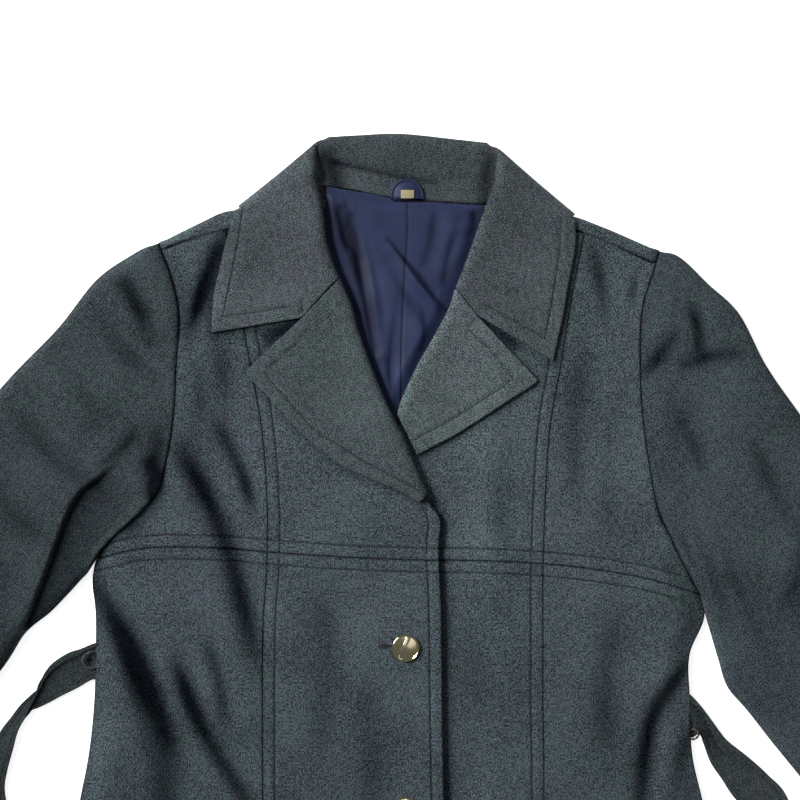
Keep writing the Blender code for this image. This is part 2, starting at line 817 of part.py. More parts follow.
def collar_front_sections(side, sections):
    """The fall where it lies on a front, from its point up to the shoulder."""
    columns = COLLAR_FRONTS[side]
    edges, rolls, seams = (rows_of(columns, name, sections) for name in ("edge", "roll", "seam"))
    points = []
    for number, (edge, roll, seam) in enumerate(zip(edges, rolls, seams)):
        way = (edge - roll) / np.linalg.norm(edge - roll)
        blend = (1 - number / (sections - 1)) ** 4
        middle = (edge + roll) / 2 * (1 - blend) + np.asarray(NOTCHES[side]) * blend
        near_shoulder = ease(0.72, 1.0, number / (sections - 1))
        points.append(
            turned_section(
                (edge, middle),
                roll + way * TURNED / 2,
                seam,
                lambda a, d: leaf_up(side, a, d),
                lambda a, d, k=near_shoulder: turn_back_up(side, a, d) * (1 - k) + (SEAM_UP + 1.0) * k,
            )
        )
    return points


def collar_fold_sections(side, angles):
    """The fall where it passes over the shoulder, from the front to behind the neck."""
    places = COLLAR_FOLDS[side]
    edge = np.array(places["edge"])
    share = np.linspace(0, 1, len(angles))
    rolls = smooth([0, 0.5, 1], places["roll"], share)
    seams = smooth([0, 0.5, 1], places["seam"], share)
    way = (edge - rolls[len(angles) // 2]) / np.linalg.norm(edge - rolls[len(angles) // 2])
    inward = np.array([-way[1], way[0]]) * (-1 if side == "left" else 1)
    if inward[1] < 0:
        inward = -inward
    points = []
    for angle, roll, seam in zip(angles, rolls, seams):

        def leaf_height(a, d, angle=angle, roll=roll):
            top = leaf_up(side, a, max(d, 66.0))
            near_roll = 1 - ease(0, 24, np.hypot(a - roll[0], d - roll[1]))
            low = TURNED / 2 + 2.4 * near_roll
            return (top + low) / 2 + (top - low) / 2 * math.cos(angle)

        shift = inward * (TURNED / 2 + 4.8 * (1 - math.sin(angle)))
        points.append(
            turned_section(
                (edge + shift, (edge + roll) / 2 + shift),
                roll + shift * 0.6,
                seam,
                leaf_height,
                lambda a, d: SEAM_UP + (STAND_UP - SEAM_UP) * (1 - ease(8, 40, d)),
            )
        )
    return points


def collar_back_sections(sections):
    """The fall under the back and the stand above it, behind the neck."""
    edges, rolls, seams = (rows_of(COLLAR_BACK, name, sections) for name in ("edge", "roll", "seam"))
    points = []
    for edge, roll, seam in zip(edges, rolls, seams):
        inset = roll + np.array([0.0, TURNED / 2])
        points.append(
            turned_section(
                (edge, (edge + inset) / 2),
                inset,
                seam,
                lambda a, d: TURNED / 2,
                lambda a, d, top=inset[1] + 8, low=seam[1]: SEAM_UP
                + (STAND_UP - SEAM_UP) * (1 - ease(top, low, d)),
            )
        )
    return points


def collar(finish):
    """The collar from its left point, round behind the neck, to its right point."""
    turn = np.radians((20, 50, 80, 110, 140, 165))
    sections = collar_front_sections("left", 8)
    sections += collar_fold_sections("left", turn)
    sections += collar_back_sections(9)
    sections += collar_fold_sections("right", turn)[::-1]
    sections += collar_front_sections("right", 8)[::-1]
    return rolled("collar", np.array(sections), TURNED, finish)


def back_lining(finish):
    """The satin that shows in the neck, down to where the lapels meet."""
    bottom = 254.0
    share = np.linspace(0, 1, 11)[None, :]
    level = np.linspace(0, 1, 12)[:, None]
    seam_across = -63.5 + (72.0 + 63.5) * share
    top = smooth(NECK_SEAM["across"], NECK_SEAM["down"], seam_across) + 1.9
    down = top + (bottom - top) * level
    hidden = 14 * ease(64, 92, down)
    left = np.where(down < 64, -63.5, left_opening(down)) - hidden
    right = np.where(down < 64, 72.0, right_opening(down)) + hidden
    across = left + (np.maximum(right, left + 12) - left) * share
    underside = np.stack([across, down, lining_low(across, down)], axis=-1)
    return panel("back_lining", underside, SATIN, finish)


def tie(side, finish):
    """A belt tie: a strip of two layers that lies on the surface beside the coat."""
    columns = TIES[side]
    sections = 27
    route = np.stack([columns["across"], columns["down"], columns["up"]], axis=1)
    route = smooth(np.arange(len(route)), route, np.linspace(0, len(route) - 1, sections))
    way = np.gradient(route[:, :2], axis=0)
    way = way / np.linalg.norm(way, axis=1)[:, None]
    sideways = np.column_stack([-way[:, 1], way[:, 0]])
    outward = -1 if side == "left" else 1
    seam_way = np.array([0.0, outward])
    seam_way = seam_way * np.sign(sideways[0] @ seam_way)
    sideways[0] = seam_way
    sideways[1] = (seam_way + 2 * sideways[1]) / np.linalg.norm(seam_way + 2 * sideways[1])
    rows = []
    for point, across_way in zip(route, sideways):
        for_width = np.linspace(-0.5, 0.5, 3) * TIE_WIDTH
        lift = point[2] - 1.6
        up = lift * (1 + 0.8 * np.linspace(-1, 1, 3))
        flat = point[:2] + across_way * for_width[:, None]
        seam = body_line(f"{side}_edge", flat[:, 1]) + outward * 3 * SEAM
        flat[:, 0] = outward * np.maximum(outward * flat[:, 0], outward * seam)
        rows.append(np.column_stack([flat, np.maximum(up, 0)]))
    return panel(f"belt_tie_{side}", np.array(rows), TIE, finish)


def belt_loop(side, finish):
    """A thread loop beside the side seam that the tie passes through."""
    middle, reach = LOOPS[side]
    outward = -1 if side == "left" else 1
    path = []
    for angle in np.radians(np.linspace(0, 180, 9)):
        down = middle + reach * math.cos(angle)
        across = body_line(f"{side}_edge", down) + outward * 4.6
        up = 1.0 + (TIE + 2.0) * math.sin(angle) ** 0.5
        path.append((float(across), down, up))
    line = bpy.data.curves.new(f"belt_loop_{side}", "CURVE")
    line.dimensions = "3D"
    spline = line.splines.new("POLY")
    spline.points.add(len(path) - 1)
    for point, co in zip(spline.points, place(path)):
        point.co = (*co, 1)
    line.bevel_depth = 0.9 * MM
    line.bevel_resolution = 1
    line.use_fill_caps = True
    line.materials.append(finish)
    made = bpy.data.objects.new(f"belt_loop_{side}", line)
    bpy.context.collection.objects.link(made)
    return made


def button(number, finish):
    """A domed metal disc with a raised bar across it, resting on the left front."""
    across, down = TOP_BUTTON_ACROSS, TOP_BUTTON_DOWN + BUTTON_SPACING * number
    radius = BUTTON_DIAMETER / 2
    seat = float(left_front_low(np.array([across]), np.array([down]))[0]) + WOOL + 0.7
    disc = bmesh.new()
    profile = table(
        "out up", (0, 0), (0.80, 0), (0.97, 0.22), (1, 0.42), (0.95, 0.62), (0.80, 0.82), (0.55, 0.95), (0, 1)
    )
    out, up = profile["out"] * radius * MM, profile["up"] * BUTTON_THICKNESS * MM
    ring = [disc.verts.new((x, 0, z)) for x, z in zip(out, up)]
    edges = [disc.edges.new(pair) for pair in zip(ring, ring[1:])]
    turn = {"cent": (0, 0, 0), "axis": (0, 0, 1), "angle": 2 * math.pi}
    bmesh.ops.spin(disc, geom=ring + edges, steps=24, use_merge=True, **turn)
    bmesh.ops.remove_doubles(disc, verts=list(disc.verts), dist=1e-6)
    bmesh.ops.recalc_face_normals(disc, faces=list(disc.faces))
    bmesh.ops.translate(disc, vec=Vector(place((across, down, seat))), verts=list(disc.verts))
    return object_of(f"button_{number + 1}", disc, finish)


def neck_tab(finish):
    """The half-moon tab sewn over the neck seam, a flat disc cut across."""
    tab = bmesh.new()
    bmesh.ops.create_circle(tab, cap_ends=True, segments=24, radius=14.5 * MM)
    cut = Vector((0, -3.4 * MM, 0))
    bmesh.ops.bisect_plane(
        tab,
        geom=list(tab.verts) + list(tab.edges) + list(tab.faces),
        plane_co=cut,
        plane_no=Vector((0, -1, 0)),
        clear_outer=True,
    )
    grown = bmesh.ops.extrude_face_region(tab, geom=list(tab.faces))
    top = [part for part in grown["geom"] if isinstance(part, bmesh.types.BMVert)]
    bmesh.ops.translate(tab, vec=Vector((0, 0, 1.0 * MM)), verts=top)
    bmesh.ops.recalc_face_normals(tab, faces=list(tab.faces))
    bmesh.ops.rotate(tab, cent=(0, 0, 0), matrix=NECK_TILT, verts=list(tab.verts))
    bmesh.ops.translate(tab, vec=Vector(place((6.2, 53.6, 8.1))), verts=list(tab.verts))
    return object_of("neck_tab", tab, finish)


def neck_label(finish):
    """The bare label on the tab."""
    label = bmesh.new()
    bmesh.ops.create_cube(label, size=1)
    bmesh.ops.scale(label, vec=(11.2 * MM, 7.0 * MM, 0.6 * MM), verts=list(label.verts))
    bmesh.ops.rotate(label, cent=(0, 0, 0), matrix=NECK_TILT, verts=list(label.verts))
    bmesh.ops.translate(label, vec=Vector(place((6.4, 52.6, 9.8))), verts=list(label.verts))
    return object_of("neck_label", label, finish)


def stand_on_origin():
    """Moves every piece so that the origin is under the middle of the coat, on the surface."""
    bpy.context.view_layer.update()
    graph = bpy.context.evaluated_depsgraph_get()
    corners = []
    for made in bpy.data.objects:
        shown = made.evaluated_get(graph)
        mesh = shown.to_mesh()
        places = np.empty(len(mesh.vertices) * 3)
        mesh.vertices.foreach_get("co", places)
        corners.append(places.reshape(-1, 3))
        shown.to_mesh_clear()
    every = np.concatenate(corners)
    low, high = every.min(axis=0), every.max(axis=0)
    shift = Matrix.Translation((-(low[0] + high[0]) / 2, -(low[1] + high[1]) / 2, -low[2]))
    for made in bpy.data.objects:
        made.data.transform(shift)


def main():
    for old in list(bpy.data.objects):
        bpy.data.objects.remove(old, do_unlink=True)
    wool = material("slate_wool", (0.055, 0.072, 0.080), 0.95)
    satin = material("navy_satin", (0.035, 0.046, 0.115), 0.45)
    brass = material("pale_brass", (0.62, 0.53, 0.30), 0.28, 1.0)
    cream = material("cream_label", (0.62, 0.56, 0.36), 0.8)
    thread = material("brown_thread", (0.10, 0.075, 0.055), 0.9)
    back_panel(wool)
    for side in ("left", "right"):
        for place_name in ("side", "centre"):
            for level in ("upper", "lower"):
                front_panel(side, place_name, level, wool)
        sleeve(side, wool)
        lapel(side, wool)
        tie(side, wool)
        belt_loop(side, thread)
    collar(wool)
    back_lining(satin)
    neck_tab(satin)
    neck_label(cream)
    for number in range(BUTTON_COUNT):
        button(number, brass)
    stand_on_origin()


main()
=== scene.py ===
"""A single-breasted wool coat with notched lapels and a tie belt, laid flat on its back.

The tables are in millimetres: "across" runs to the viewer's right from the coat's middle, "down" runs from
the collar's top fold to the hem, and "up" is the height off the surface. Meshes are in metres.
"""

import math

import bmesh
import bpy
import numpy as np
from bpy.props import FloatProperty, FloatVectorProperty, IntProperty, PointerProperty
from mathutils import Matrix, Vector
from mathutils.bvhtree import BVHTree


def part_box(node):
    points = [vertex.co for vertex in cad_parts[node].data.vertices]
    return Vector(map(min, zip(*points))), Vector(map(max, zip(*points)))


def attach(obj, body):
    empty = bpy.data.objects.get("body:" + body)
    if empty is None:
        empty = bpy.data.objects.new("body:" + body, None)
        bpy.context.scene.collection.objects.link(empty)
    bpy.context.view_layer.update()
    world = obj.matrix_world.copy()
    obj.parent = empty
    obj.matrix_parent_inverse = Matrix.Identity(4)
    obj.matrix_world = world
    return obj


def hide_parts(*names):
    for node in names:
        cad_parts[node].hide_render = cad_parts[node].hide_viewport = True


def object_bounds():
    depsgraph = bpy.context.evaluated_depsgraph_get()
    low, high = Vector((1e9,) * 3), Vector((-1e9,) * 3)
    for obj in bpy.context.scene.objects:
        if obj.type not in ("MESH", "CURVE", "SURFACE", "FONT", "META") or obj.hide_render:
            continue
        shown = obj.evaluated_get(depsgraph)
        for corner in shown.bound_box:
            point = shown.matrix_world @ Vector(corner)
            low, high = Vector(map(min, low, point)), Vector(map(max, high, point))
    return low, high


bl_info = {
    "name": "Flat-laid Wool Coat",
    "version": (1, 0, 0),
    "blender": (4, 5, 0),
    "location": "View3D > Sidebar > Wool Coat",
    "description": "Cuts, sews and finishes a notched-lapel wool coat that lies on its back",
    "category": "Add Mesh",
}

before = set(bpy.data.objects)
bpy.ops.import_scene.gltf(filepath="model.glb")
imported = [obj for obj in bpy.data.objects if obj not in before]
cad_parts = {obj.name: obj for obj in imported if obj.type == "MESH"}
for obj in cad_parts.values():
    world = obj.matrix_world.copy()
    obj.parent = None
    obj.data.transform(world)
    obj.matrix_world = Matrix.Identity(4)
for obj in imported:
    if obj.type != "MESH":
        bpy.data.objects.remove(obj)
CAD_BOX = [list(corner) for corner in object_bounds()]

MM = 0.001
ROOT = "root"
SIDES = ("left", "right")
FRONT_PANELS = tuple(
    (side, strip, level) for side in SIDES for strip in ("side", "centre") for level in ("upper", "lower")
)

# Sizes in millimetres, apart from the angles: first the walls of the cloth and the room between its layers.
WOOL = 2.2
TURNED = 2.4
SATIN = 1.0
TIE = 2.6
REST = 0.45
LINING_REST = 0.7
LEAF_GAP = 1.1
LOFT = 7.6
OVERLAP_LOFT = 0.7
TUCK = 6.0
TURN_BACK = 22.0
BACK_RISE = 3.4
STAND_UP = 9.8
SEAM_UP = 6.2
BUTTON_SPACING = 139.7  # from one button's middle to the next
BUTTON_COUNT = 4
TOP_BUTTON = (4.8, 442.3)
BUTTON_TILTS = (3, -4, 5, -2)  # degrees, one for each button
BUTTON_DISH = 10.4  # radius inside the rim
BAR_SIZE = (3.0, 19.6, 1.6)
BAR_SLANT = -20  # degrees
BAR_OFF = 1.6  # how far the bar lies off the button's middle
SLIT_HALF = 13.5
SLIT_STITCHES = 76
TAB_RADIUS = 14.2
TAB_WALL = 1.4
TAB_PLACE = (6.2, 53.6, 8.5)
LABEL_SIZE = (11.4, 7.2, 0.7)
LABEL_PLACE = (6.4, 52.8, 10.5)

FIRST_LOW, FIRST_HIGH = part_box("button_1")
# Where across 0 and down 0 lie in the frame, found from the top button.
ORIGIN_X = (FIRST_LOW.x + FIRST_HIGH.x) / 2 - TOP_BUTTON[0] * MM
ORIGIN_Y = (FIRST_LOW.y + FIRST_HIGH.y) / 2 + TOP_BUTTON[1] * MM
HEM = (ORIGIN_Y - CAD_BOX[0][1]) / MM  # how far down the hem is


def table(columns, *rows):
    """A short table as a dictionary of its named columns."""
    return dict(zip(columns.split(), np.array(rows, float).T))


BODY = table(
    "down left_edge left_princess right_princess right_edge",
    (80, -213.5, -149.9, 159.8, 228.0),
    (111, -200.4, -144.3, 153.4, 220.2),
    (148, -190.1, -137.8, 146.4, 209.0),
    (200, -191.8, -128.1, 138.5, 206.4),
    (247, -194.4, -119.5, 129.9, 209.0),
    (290, -202.1, -115.2, 126.4, 215.0),
    (308, -207.0, -114.3, 125.5, 218.0),
    (324, -219.8, -113.5, 124.7, 221.9),
    (350, -248.0, -113.5, 123.8, 233.9),
    (367, -261.5, -114.0, 123.3, 241.9),
    (380, -264.6, -114.4, 123.0, 249.4),
    (412, -262.3, -117.0, 123.0, 262.6),
    (449, -262.2, -117.8, 123.0, 249.5),
    (488, -263.4, -117.8, 123.0, 250.0),
    (539, -268.9, -117.8, 123.8, 252.5),
    (574, -275.8, -117.8, 123.8, 260.6),
    (746, -290.7, -122.1, 129.0, 282.1),
    (1021, -319.9, -129.0, 137.6, 313.9),
)
LEFT_OPENING = table(
    "down across",
    (5, -72.2), (27, -74.0), (58, -67.1), (92, -62.8), (118, -53.3), (148, -41.3), (178, -32.7),
    (208, -21.5), (238, -8.6), (268, 6.9), (297, 17.2), (316, 27.5), (331, 34.4), (354, 33.4),
    (402, 35.3), (488, 36.4), (574, 37.8), (1021, 39.6),
)
RIGHT_OPENING = table(
    "down across",
    (12, 86.0), (30, 84.3), (53, 77.4), (71, 70.5), (101, 60.2), (131, 49.0), (165, 34.4),
    (195, 17.2), (225, 2.6), (251, -6.9), (273, -17.2), (298, -23.2), (329, -24.1), (1021, -24.1),
)
BUST_SEAM = table(
    "across down",
    (-264, 367.2), (-224, 357.8), (-172, 356.2), (-113, 360.3), (-52, 364.6), (36, 367.6),
    (86, 368.4), (125, 370.7), (172, 375.8), (215, 383.6), (263, 398.2),
)
SHOULDER_SEAM = table(
    "across down",
    (-207, 101.0), (-190, 95.0), (-172, 89.4), (-148, 82.6), (-92, 70.5), (98, 68.0), (149, 83.0),
    (172, 91.8), (206, 106.5), (224, 114.0),
)
SHOULDER_FOLD = table(
    "across down",
    (-207, 94.6), (-172, 77.4), (-150, 67.4), (-139, 65.8), (-125, 63.8), (-92, 58.0), (102, 58.0),
    (138, 70.0), (150, 72.2), (172, 80.0), (206, 94.6), (225, 102.6),
)
NECK_SEAM = table(
    "across down",
    (-67, 43.9), (-43, 48.2), (-26, 50.7), (-7, 55.0), (6, 57.2), (17, 57.6), (43, 59.3),
    (73, 61.1),
)
SLEEVES = {
    "left": table(
        "outer_across outer_down inner_across inner_down",
        (-206.4, 95.3, -265.0, 372.4),
        (-232.0, 108.5, -267.0, 374.5),
        (-262.0, 130.0, -270.0, 377.5),
        (-294.0, 170.5, -276.0, 382.5),
        (-333.0, 211.0, -287.0, 394.0),
        (-376.0, 261.0, -303.0, 409.9),
        (-424.0, 318.0, -325.0, 428.3),
        (-472.0, 375.5, -345.5, 459.4),
        (-526.0, 440.0, -395.0, 520.0),
        (-574.0, 497.0, -450.0, 585.0),
        (-621.0, 553.0, -508.0, 648.0),
    ),
    "right": table(
        "outer_across outer_down inner_across inner_down",
        (225.6, 103.6, 263.2, 411.9),
        (244.0, 111.5, 264.5, 416.0),
        (266.0, 133.0, 266.5, 423.0),
        (292.0, 158.5, 269.5, 433.0),
        (315.0, 203.0, 275.0, 451.0),
        (344.0, 245.1, 283.0, 474.0),
        (385.0, 301.0, 301.0, 495.0),
        (430.0, 363.0, 328.0, 529.0),
        (484.0, 437.0, 368.0, 576.0),
        (540.0, 515.0, 421.0, 628.0),
        (598.0, 594.5, 476.6, 682.7),
    ),
}
LAPELS = {
    "left": table(
        "edge_across edge_down roll_across roll_down",
        (-131.6, 203.8, -51.4, 124.5),
        (-129.0, 210.7, -41.3, 148.0),
        (-116.0, 223.6, -37.0, 165.1),
        (-98.9, 242.5, -32.7, 178.0),
        (-73.1, 268.3, -21.5, 208.1),
        (-47.3, 287.2, -8.6, 238.2),
        (-21.5, 299.0, 2.6, 259.7),
        (0.0, 308.0, 13.8, 287.0),
        (17.2, 317.5, 24.0, 309.5),
    ),
    "right": table(
        "edge_across edge_down roll_across roll_down",
        (116.1, 209.8, 47.3, 133.3),
        (117.8, 213.5, 43.0, 147.9),
        (111.8, 218.6, 34.4, 165.1),
        (94.6, 229.3, 25.8, 180.6),
        (77.4, 240.6, 17.2, 195.2),
        (60.2, 252.0, 9.6, 210.5),
        (43.0, 262.3, 4.6, 221.5),
        (28.0, 270.0, 0.5, 231.5),
        (14.8, 277.0, -2.0, 241.5),
    ),
}
NOTCHES = {"left": (-84.3, 159.1), "right": (66.2, 156.5)}
COLLAR_FRONTS = {
    "left": table(
        "edge_across edge_down roll_across roll_down seam_across seam_down",
        (-161.7, 172.0, -51.9, 123.9, -67.5, 139.5),
        (-160.0, 142.0, -57.3, 111.0, -78.0, 119.0),
        (-153.5, 111.0, -62.8, 92.0, -84.0, 97.0),
        (-147.0, 86.0, -66.4, 64.0, -84.0, 69.0),
        (-141.5, 68.0, -72.0, 38.0, -80.0, 52.5),
    ),
    "right": table(
        "edge_across edge_down roll_across roll_down seam_across seam_down",
        (131.6, 196.1, 47.8, 132.7, 65.3, 146.0),
        (139.5, 160.0, 53.6, 118.0, 73.0, 127.0),
        (145.0, 128.0, 62.5, 94.0, 83.5, 99.0),
        (150.5, 98.0, 71.5, 68.0, 88.5, 73.0),
        (150.0, 76.0, 82.5, 38.0, 86.0, 58.0),
    ),
}
COLLAR_FOLDS = {
    "left": {
        "edge": (-139.3, 62.8),
        "roll": ((-73.0, 29.0), (-72.4, 10.0), (-65.5, 3.0)),
        "seam": ((-76.0, 49.5), (-69.0, 45.5), (-62.5, 45.2)),
    },
    "right": {
        "edge": (150.5, 69.7),
        "roll": ((84.6, 30.0), (85.6, 15.5), (78.5, 8.6)),
        "seam": ((82.0, 58.0), (76.0, 59.8), (70.5, 60.8)),
    },
}
COLLAR_BACK = table(
    "edge_across edge_down roll_across roll_down seam_across seam_down",
    (-118.0, 62.5, -61.0, 2.4, -58.0, 45.9),
    (-60.0, 62.0, -40.0, 1.7, -38.0, 49.0),
    (0.0, 62.5, 0.0, 0.3, 0.0, 56.2),
    (70.0, 64.5, 45.0, 4.6, 44.0, 59.3),
    (128.0, 68.5, 74.0, 7.2, 66.0, 60.6),
)

# Listed creases: three points along each, half width and depth. A ridge's depth is below nought.
CREASES = table(
    "across_1 down_1 across_2 down_2 across_3 down_3 half_width depth",
    (-194, 262, -152, 346, -121, 465, 11, 3.2),
    (-160, 245, -137, 290, -125, 330, 7, 2.3),
    (-278, 362, -231, 447, -189, 542, 11, 3.9),
    (-250, 420, -222, 500, -205, 590, 9, -1.4),
    (-198, 442, -172, 508, -122, 590, 8, 3.4),
    (-168, 434, -156, 470, -150, 512, 6, 1.9),
    (-205, 500, -200, 600, -214, 700, 13, 2.2),
    (252, 450, 215, 508, 202, 650, 9, 2.5),
    (258, 450, 236, 470, 222, 500, 6, -1.6),
    (258, 505, 238, 540, 228, 595, 8, -1.6),
    (186, 410, 176, 470, 180, 540, 14, 1.4),
    (-154, 90, -168, 128, -182, 178, 7, 2.4),
    (-160, 168, -152, 205, -150, 240, 9, 0.9),
    (162, 90, 172, 128, 177, 164, 7, 1.5),
    (202, 124, 200, 136, 199, 148, 5, 1.0),
    (158, 180, 150, 250, 152, 330, 12, 1.0),
    (182, 230, 176, 300, 182, 352, 10, -0.8),
    (-178, 190, -172, 230, -180, 262, 8, -0.9),
    (60, 400, 66, 470, 62, 560, 16, 0.9),
    (-70, 390, -62, 450, -72, 540, 14, 1.0),
    (-30, 470, -24, 540, -34, 640, 12, 0.8),
    (90, 280, 84, 320, 92, 356, 10, 0.8),
    (-160, 640, -182, 790, -208, 970, 16, 2.6),
    (-215, 660, -240, 790, -266, 950, 14, -2.0),
    (-80, 700, -92, 830, -86, 980, 15, 1.5),
    (176, 650, 198, 790, 226, 975, 16, 2.6),
    (232, 700, 248, 830, 268, 975, 13, 1.6),
    (72, 700, 84, 820, 98, 985, 14, 1.8),
)
SLEEVE_CREASES = table(
    "across_1 down_1 across_2 down_2 across_3 down_3 half_width depth",
    (-206, 250, -209, 284, -213, 318, 9, 2.4),
    (-244, 124, -226, 148, -208, 166, 9, 1.3),
    (-262, 150, -240, 190, -214, 214, 8, 1.0),
    (-300, 190, -268, 232, -232, 262, 10, -1.2),
    (-222, 250, -240, 272, -262, 288, 8, -2.0),
    (-330, 240, -296, 282, -262, 300, 9, 1.5),
    (-352, 300, -330, 330, -300, 352, 10, 1.4),
    (-390, 330, -362, 362, -332, 380, 9, -1.3),
    (-327, 429, -360, 500, -404, 566, 10, 2.6),
    (-430, 400, -410, 440, -380, 490, 9, 2.0),
    (-480, 430, -462, 480, -430, 530, 10, -1.6),
    (-540, 500, -520, 540, -480, 590, 9, 1.8),
    (234, 176, 222, 192, 209, 208, 7, 1.6),
    (241, 202, 268, 192, 294, 187, 6, 1.4),
    (250, 152, 255, 168, 256, 188, 6, 1.3),
    (236, 240, 250, 262, 262, 296, 8, 1.2),
    (250, 335, 268, 380, 288, 436, 9, 0.9),
    (268, 330, 290, 392, 330, 472, 10, -1.4),
    (300, 260, 318, 300, 345, 350, 10, 1.2),
    (350, 330, 345, 372, 330, 410, 9, 1.4),
    (420, 430, 400, 470, 372, 520, 10, 2.2),
    (470, 480, 462, 520, 430, 566, 9, -1.6),
    (520, 540, 500, 580, 466, 622, 9, 1.8),
)
# The line where the left sleeve's upper layer rolls over the layer below it.
SLEEVE_STEP = table(
    "across down",
    (-238, 280), (-258, 294), (-275, 307), (-284, 320), (-291, 337), (-305, 376), (-318, 410),
    (-327, 429),
)
LINING_CREASES = table(
    "across_1 down_1 across_2 down_2 across_3 down_3 half_width depth",
    (-46, 66, -34, 130, -22, 196, 5.5, 3.0),
    (-36, 70, -22, 128, -14, 186, 6.0, -1.6),
    (-10, 92, 16, 126, 40, 157, 3.6, -2.4),
    (-18, 100, 4, 140, 26, 172, 9.0, -1.2),
    (30, 58, 26, 92, 18, 118, 6.0, 1.0),
    (62, 66, 64, 76, 60, 96, 4.0, 2.2),
    (-56, 62, -50, 84, -44, 104, 5.0, 2.2),
    (-4, 150, -10, 200, -6, 240, 5.0, 1.2),
    (16, 140, 20, 180, 8, 226, 5.0, -1.0),
    (48, 80, 40, 108, 36, 134, 5.0, 1.2),
)

# Rows of topstitching, as they run on each piece.
EDGE_STITCH = 10.4
BUST_DOWN = 366.0  # about where the seam under the bust crosses the panels
COLLAR_STITCHES = (
    (
        *((-131.6, 56), (-135, 70.5), (-137.6, 87.7), (-141, 105)),
        *((-145.3, 126.4), (-148.8, 143.6), (-151.6, 158.6)),
    ),
    ((-151.6, 158.6), (-141.9, 156.5), (-124.7, 153.9), (-104, 151), (-85.1, 147.9)),
    ((-85.1, 147.9), (-84.4, 157.5)),
    ((137.6, 72.2), (136.7, 104.9), (131.6, 140.2), (124.7, 177.2)),
    ((124.7, 177.2), (108, 168), (86, 154.6), (70.5, 146.2)),
    ((70.5, 146.2), (66.6, 155)),
)
LAPEL_STITCHES = {
    "left": (
        (
            *((-80, 169), (-86, 178), (-98.9, 189.2), (-116.1, 205.5)),
            *((-113.5, 209.8), (-103.2, 221.9), (-86, 240.8)),
        ),
        ((-86, 240.8), (-77.4, 251.1), (-64.5, 261.4), (-51.6, 269.2), (-38.7, 277.8), (-25.8, 284.7)),
        ((-25.8, 284.7), (-12.9, 291.4), (0, 298.4), (15.5, 307)),
    ),
    "right": (
        ((66.2, 157.5), (61.9, 161.7), (59, 166), (60.2, 171.1), (67.1, 176.3), (77.4, 186.6), (86, 196.9)),
        ((86, 196.9), (92, 203.8), (95.5, 209.8), (90.3, 216.7), (77.4, 225.3), (68.8, 230.6), (53.3, 241)),
        ((53.3, 241), (38.7, 250.3), (21.5, 258.9), (10.3, 264.9)),
    ),
}

# Edges of collar, lapels and sleeves that lie over the fronts; shade is painted on the fronts beside them.
COVERING_EDGES = (
    (
        *((-140, 72), (-147, 86), (-153.5, 111), (-160, 142)),
        *((-161.7, 172), (-129, 167.7), (-99, 166), (-84, 160)),
    ),
    ((-84, 160), (-103, 176), (-131, 204), (-122, 217), (-98.9, 242.5), (-73.1, 268.3), (-47.3, 287.2)),
    ((-47.3, 287.2), (-21.5, 299), (0, 308), (17.2, 317.5)),
    ((150, 80), (150.5, 98), (145, 128), (139.5, 160), (131.6, 196.1), (103, 182), (77.4, 165), (66.2, 157)),
    ((66.2, 157), (86, 176), (116, 210), (94.6, 229.3), (60.2, 252), (28, 270), (14.8, 277)),
)
SLEEVE_EDGES = (
    ((-202, 290), (-207, 308), (-220, 324), (-248, 350), (-264.9, 372.4)),
    ((220, 318), (223.6, 332.8), (234, 350), (249.4, 380), (263, 412)),
)

# Places where shade and shadows are painted on, each as a line along its middle, its half width and how dark
# the painted shade is.
FRONT_SHADES = (
    (((-88, 161), (-100, 169), (-114, 176)), 6.5, 0.75),
    (((72, 160), (84, 170), (98, 182)), 5.0, 0.65),
    (((-197, 112), (-189, 140), (-188, 170)), 7.0, 0.3),
    (((-150, 84), (-160, 110), (-172, 150)), 10.0, 0.2),
    (((-160, 110), (-158, 190), (-166, 260)), 34.0, 0.2),
    (((-205, 305), (-215, 322), (-232, 338)), 7.0, 0.6),
)
SLEEVE_SHADES = (
    (((-205, 100), (-194, 118), (-190, 145), (-190, 172)), 8.0, 0.5),
    (((-235, 129), (-224, 155), (-214, 181)), 7.0, 0.55),
    (((-232, 189), (-222, 200), (-212, 208)), 6.0, 0.3),
    (((-216, 284), (-208, 300), (-211, 311)), 8.0, 0.85),
    (((234, 176), (222, 192), (211, 206)), 5.5, 0.4),
    (((250, 150), (257, 168), (258, 186)), 6.0, 0.45),
    (((243, 200), (268, 192), (292, 188)), 7.0, 0.4),
)
COLLAR_SHADES = (
    (((-64, 20), (-58, 34), (-54, 47)), 9.0, 0.75),
    (((-57, 25), (-43, 28.5), (-17, 34), (8, 39.5), (30, 43)), 2.6, 0.6),
    (((77, 22), (75, 42), (72, 58)), 7.0, 0.6),
    (((-46, 20), (0, 26), (60, 34)), 24.0, 0.24),
)
LINING_SHADES = (
    (((-11, 91), (3, 108), (20, 125), (30, 141), (41, 154)), 1.6, 0.6),
    (((-52, 66), (-47, 96), (-36, 122)), 9.0, 0.5),
    (((-43, 68), (-30, 120), (-23, 165)), 4.0, 0.3),
    (((46, 74), (58, 70), (74, 66)), 5.0, 0.4),
    (((50, 86), (60, 84), (70, 80)), 4.0, 0.22),
    (((37, 128), (46, 113), (56, 100)), 6.0, 0.35),
)
